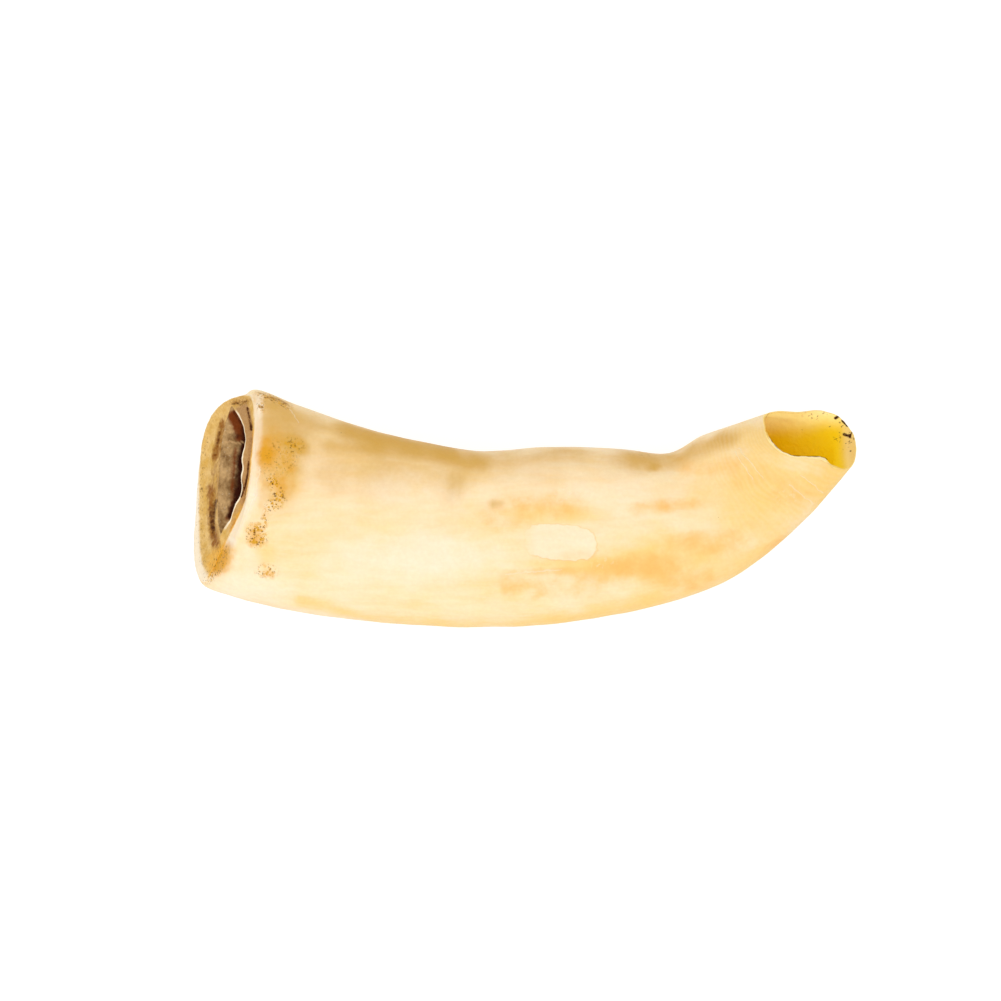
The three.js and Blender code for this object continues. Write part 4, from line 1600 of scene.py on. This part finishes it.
@dataclass(frozen=True)
class PulpFinish:
    """The root's inner wall: pale straw by the rim, partly the wall's colour and partly painted light coming
    through the thin wall, and deep yellow inside, with black-brown marks and a painted shadow line inside the
    near rim.
    """

    straw: Tone = Tone(255, 232, 148)
    yellow: Tone = Tone(244, 200, 0)
    rim: Tone = Tone(255, 238, 190)
    tan: Tone = Tone(226, 184, 108)
    grime_and_shade: Tone = Tone(58, 22, 0)
    # Emission tint of the painted glow in the deep and tanned parts.
    shine: Tone = Tone(150, 112, 0)
    roughness: float = 0.4
    # Strength of the painted glow.
    glow: float = 0.19
    score_width: float = 0.17
    crease_width: float = 0.09
    waver: float = 0.2
    scores: tuple[Line, ...] = (
        (837.0, 418.0, 839.5, 416.5),
        (844.5, 420.0, 848.5, 425.5),
        (845.5, 434.0, 849.0, 436.0),
        (849.0, 436.0, 851.5, 437.0),
        (851.2, 436.0, 852.0, 431.5),
    )
    # Painted shadow line, with some dirt, on the far wall just inside the near rim.
    crease_shadow: tuple[Line, ...] = (
        (770.0, 437.0, 775.0, 445.5),
        (775.0, 445.5, 782.5, 451.5),
        (782.5, 451.5, 793.5, 455.5),
        (793.5, 455.5, 807.0, 456.2),
        (807.0, 456.2, 821.0, 456.4),
        (821.0, 456.4, 828.0, 459.0),
    )

    def make(self, effects: Effects) -> Material:
        """Builds the finish. It glows a little: a painted glow, given by emission, stands for the light that
        comes through the thin wall.

        Args:
            effects: The shared effects.

        Returns:
            The material.
        """
        coat = Coat("tooth pulp wall", effects)
        deep = coat.ragged(Mark.DEEP, 1.5, 0.25, 0.5)
        tanned = coat.laid(Mark.STAIN_AND_SHADE)
        # Dark marks, with the painted shade line along the near rim.
        dirt_and_shade_line = coat.ragged(Mark.GRIME_AND_SHADE, 0.25, 0.8, 0.35)
        # Straw where the deep mark is low: partly painted light coming through the thin wall.
        coat.base = coat.blend(deep, self.straw.light(), self.yellow.light())
        coat.cover(coat.laid(Mark.PALE_AND_PAINTED_LIGHT), self.rim)
        coat.cover(tanned, self.tan)
        coat.cover(dirt_and_shade_line, self.grime_and_shade)
        shallow = coat.rise(coat.laid(Mark.ALONG), 0.3, 0.2)
        broken = coat.rise(coat.cloud(coat.place, 4.0, 2.0), 0.34, 0.44)
        scores_and_shadow_line = coat.math("MULTIPLY", coat.lines(self.scores, self.score_width, self.waver), shallow)
        scores_and_shadow_line = coat.math("MULTIPLY", scores_and_shadow_line, broken)
        # Painted shadow line inside the near rim, laid in the dark colour with the scores.
        crease_shadow = coat.math("MULTIPLY", coat.lines(self.crease_shadow, self.crease_width, self.waver), 0.6)
        scores_and_shadow_line = coat.math("MAXIMUM", scores_and_shadow_line, crease_shadow)
        coat.cover(scores_and_shadow_line, self.grime_and_shade)
        coat.cover(coat.specks(1.1, 0.05, 0.25), self.grime_and_shade, 0.4)
        coat.cover(coat.specks(0.26, 0.4, 0.3, Mark.SPECKS), self.grime_and_shade)
        # Painted glow: the emission colour stands for light coming through the thin wall.
        shine = coat.blend(deep, self.straw.light(), self.shine.light())
        shine = coat.blend(tanned, shine, self.shine.light())
        shine = coat.blend(coat.math("MAXIMUM", scores_and_shadow_line, dirt_and_shade_line), shine, self.grime_and_shade.light())
        coat.feed(coat.shader.inputs["Emission Color"], shine)
        coat.shader.inputs["Emission Strength"].default_value = self.glow
        grain = coat.mottle(0.4)
        return coat.close(grain, grain, (0.12, self.roughness), (0.06, 0.5), 0.1)


@dataclass
class Tooth:
    """The whole tooth, joined from its crown, body and root."""

    sides: int = 384

    def build(self, effects: Effects) -> bpy.types.Object:
        """Builds and dresses the tooth and puts it in the CAD tooth's place.

        Args:
            effects: The shared effects of the finishes.

        Returns:
            The tooth's object.
        """
        turns = np.arange(self.sides) / self.sides * FULL_TURN
        shape = Shape()
        crown = Crown(shape, turns)
        body = Body(shape, turns)
        root = Root(body, turns)
        parts = [crown.cup(), crown.table(), body.surface(), root.cavity()]
        poles = np.array([crown.cup_bottom(), root.cavity_end()])
        mesh = self.join(parts, poles)
        for finish in (CupFinish(), TableFinish(), SkinFinish(), PulpFinish()):
            mesh.materials.append(finish.make(effects))
        tooth = bpy.data.objects.new("tooth_surface", mesh)
        bpy.context.collection.objects.link(tooth)
        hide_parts("tooth")
        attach(tooth, "root")
        return tooth

    def join(self, parts: list[Rings], poles: Array) -> bpy.types.Mesh:
        """Joins all rings into one closed mesh.

        Args:
            parts: The rings of each part, in order from the cup's bottom to the cavity's end.
            poles: The points that close the first and the last ring.

        Returns:
            The mesh, with every mark as an attribute and each face in its part's material.
        """
        rows = np.concatenate([part.points for part in parts])
        points = self.settle(np.concatenate([poles, rows.reshape(-1, 3)]))
        side = np.arange(self.sides)
        after = (side + 1) % self.sides
        starts = len(poles) + np.arange(len(rows)) * self.sides
        here, beyond = starts[:-1, None], starts[1:, None]
        quads = np.stack([here + side, here + after, beyond + after, beyond + side], axis=-1).reshape(-1, 4)
        first_fan = [(0, starts[0] + right, starts[0] + left) for left, right in zip(side, after)]
        last_fan = [(1, starts[-1] + left, starts[-1] + right) for left, right in zip(side, after)]
        mesh = bpy.data.meshes.new("tooth_surface")
        mesh.from_pydata(points.tolist(), [], quads.tolist() + first_fan + last_fan)
        zone_of_ring = np.concatenate([np.full(len(part.points), int(part.zone)) for part in parts])
        zones = np.repeat(zone_of_ring[1:], self.sides).tolist()
        zones += [int(parts[0].zone)] * self.sides + [int(parts[-1].zone)] * self.sides
        mesh.polygons.foreach_set("material_index", zones)
        mesh.polygons.foreach_set("use_smooth", [True] * len(mesh.polygons))
        for mark in Mark:
            values = np.concatenate([part.laid(mark) for part in parts]).reshape(-1)
            values = np.concatenate([[1.0, 1.0] if mark is Mark.DEEP else [0.0, 0.0], values])
            layer = mesh.attributes.new(mark.value, "FLOAT", "POINT")
            layer.data.foreach_set("value", values.astype(np.float32))
        mesh.update()
        mesh.validate()
        return mesh

    @staticmethod
    def settle(points: Array) -> Array:
        """Moves points from the tooth's own frame onto the CAD tooth's box.

        Args:
            points: The points in millimetres.

        Returns:
            The points in metres.
        """
        low, high = (np.array(corner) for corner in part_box("tooth"))
        placed = points * MM
        mine = (placed.min(axis=0) + placed.max(axis=0)) / 2
        shift = (low + high) / 2 - mine
        shift[2] = 0.0
        return placed + shift


@dataclass(frozen=True)
class Studio:
    """The pale floor, the soft lights and the camera that looks straight down."""

    floor_size: float = 3.0
    floor_tone: Tone = Tone(188, 188, 188)
    floor_glow: float = 0.33
    floor_bounce: float = 0.32
    floor_drop: float = 0.02
    floor_roughness: float = 0.9
    floor_mirror: float = 0.1
    sky: float = 0.94
    lamps: tuple[tuple[str, Triple, float, float], ...] = (
        ("key", (0.05, -0.42, 0.45), 0.42, 0.7),
        ("fill", (-0.45, 0.15, 0.5), 0.5, 0.5),
    )
    clear_range: Place = (0.01, 10.0)
    lens: float = 400.0
    sensor: float = 36.0
    focus_height: float = 5.8

    def lay_floor(self) -> None:
        """Lays the floor that the tooth rests on."""
        half, low = self.floor_size / 2, -self.floor_drop * MM
        corners = [(-half, -half, low), (half, -half, low), (half, half, low), (-half, half, low)]
        mesh = bpy.data.meshes.new("floor")
        mesh.from_pydata(corners, [], [(0, 1, 2, 3)])
        mesh.materials.append(self.floor_finish())
        floor = bpy.data.objects.new("floor", mesh)
        bpy.context.collection.objects.link(floor)

    def floor_finish(self) -> Material:
        """Builds the floor's pale finish, which glows a little and is clear when seen from below.

        Returns:
            The material.
        """
        finish = Finish("floor")
        sockets = finish.shader.inputs
        sockets["Base Color"].default_value = self.floor_tone.light()
        sockets["Roughness"].default_value = self.floor_roughness
        sockets["Specular IOR Level"].default_value = self.floor_mirror
        straight = finish.node("ShaderNodeLightPath").outputs["Is Camera Ray"]
        glow = finish.math("MULTIPLY_ADD", straight, self.floor_glow, self.floor_bounce)
        shine = finish.node("ShaderNodeEmission", {"Strength": glow})
        lit = finish.node("ShaderNodeAddShader", {0: finish.shader.outputs[0], 1: shine.outputs[0]})
        below = finish.node("ShaderNodeNewGeometry").outputs["Backfacing"]
        clear = finish.node("ShaderNodeBsdfTransparent")
        either = finish.node("ShaderNodeMixShader", {0: below, 1: lit.outputs[0], 2: clear.outputs[0]})
        finish.feed(finish.output.inputs["Surface"], either.outputs[0])
        return finish.material

    def light(self) -> None:
        """Lights the tooth softly, most from the side of its bulging edge."""
        world = bpy.data.worlds.new("studio")
        world.use_nodes = True
        background = world.node_tree.nodes["Background"].inputs
        background["Color"].default_value = (1.0, 1.0, 1.0, 1.0)
        background["Strength"].default_value = self.sky
        bpy.context.scene.world = world
        for lamp in self.lamps:
            self.add_lamp(*lamp)

    @staticmethod
    def add_lamp(name: str, at: Triple, size: float, power: float) -> None:
        """Adds a square lamp that faces the tooth.

        Args:
            name: The lamp's name.
            at: Its place in metres.
            size: The length of its sides in metres.
            power: Its power in watts.
        """
        data = bpy.data.lights.new(name, "AREA")
        data.energy = power
        data.size = size
        lamp = bpy.data.objects.new(name, data)
        lamp.location = at
        lamp.rotation_mode = "QUATERNION"
        lamp.rotation_quaternion = (-Vector(at)).to_track_quat("-Z", "Y")
        bpy.context.collection.objects.link(lamp)

    def set_camera(self) -> None:
        """Puts the camera over the tooth, framed as in the view."""
        width = VIEW_CELLS * CELL * MM
        distance = width * self.lens / self.sensor
        half = VIEW_CELLS / 2
        low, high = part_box("tooth")
        x = (low[0] + high[0]) / 2 + (half - VIEW_MIDDLE[0]) * CELL * MM
        y = (low[1] + high[1]) / 2 - (half - VIEW_MIDDLE[1]) * CELL * MM
        data = bpy.data.cameras.new("camera")
        data.lens = self.lens
        data.sensor_width = self.sensor
        data.clip_start, data.clip_end = self.clear_range
        camera = bpy.data.objects.new("camera", data)
        camera.location = (x, y, self.focus_height * MM + distance)
        bpy.context.collection.objects.link(camera)
        bpy.context.scene.camera = camera

    def set_up(self) -> None:
        """Sets up floor, light, camera and how light turns into colours."""
        self.lay_floor()
        self.light()
        self.set_camera()
        settings = bpy.context.scene.view_settings
        settings.view_transform = "Standard"
        settings.look = "None"
        settings.exposure = 0.0
        settings.gamma = 1.0


def main() -> None:
    """Builds the tooth and the studio, and reports what was made."""
    logging.basicConfig(level=logging.INFO, format="%(name)s: %(message)s")
    effects = Effects()
    log.info("built %d shared effects", len(bpy.data.node_groups))
    tooth = Tooth().build(effects)
    log.info("%s: %d faces, %d finishes", tooth.name, len(tooth.data.polygons), len(tooth.data.materials))
    Studio().set_up()
    log.info("studio: floor, %d lamps and camera", len(bpy.data.lights))


if __name__ == "__main__":
    main()
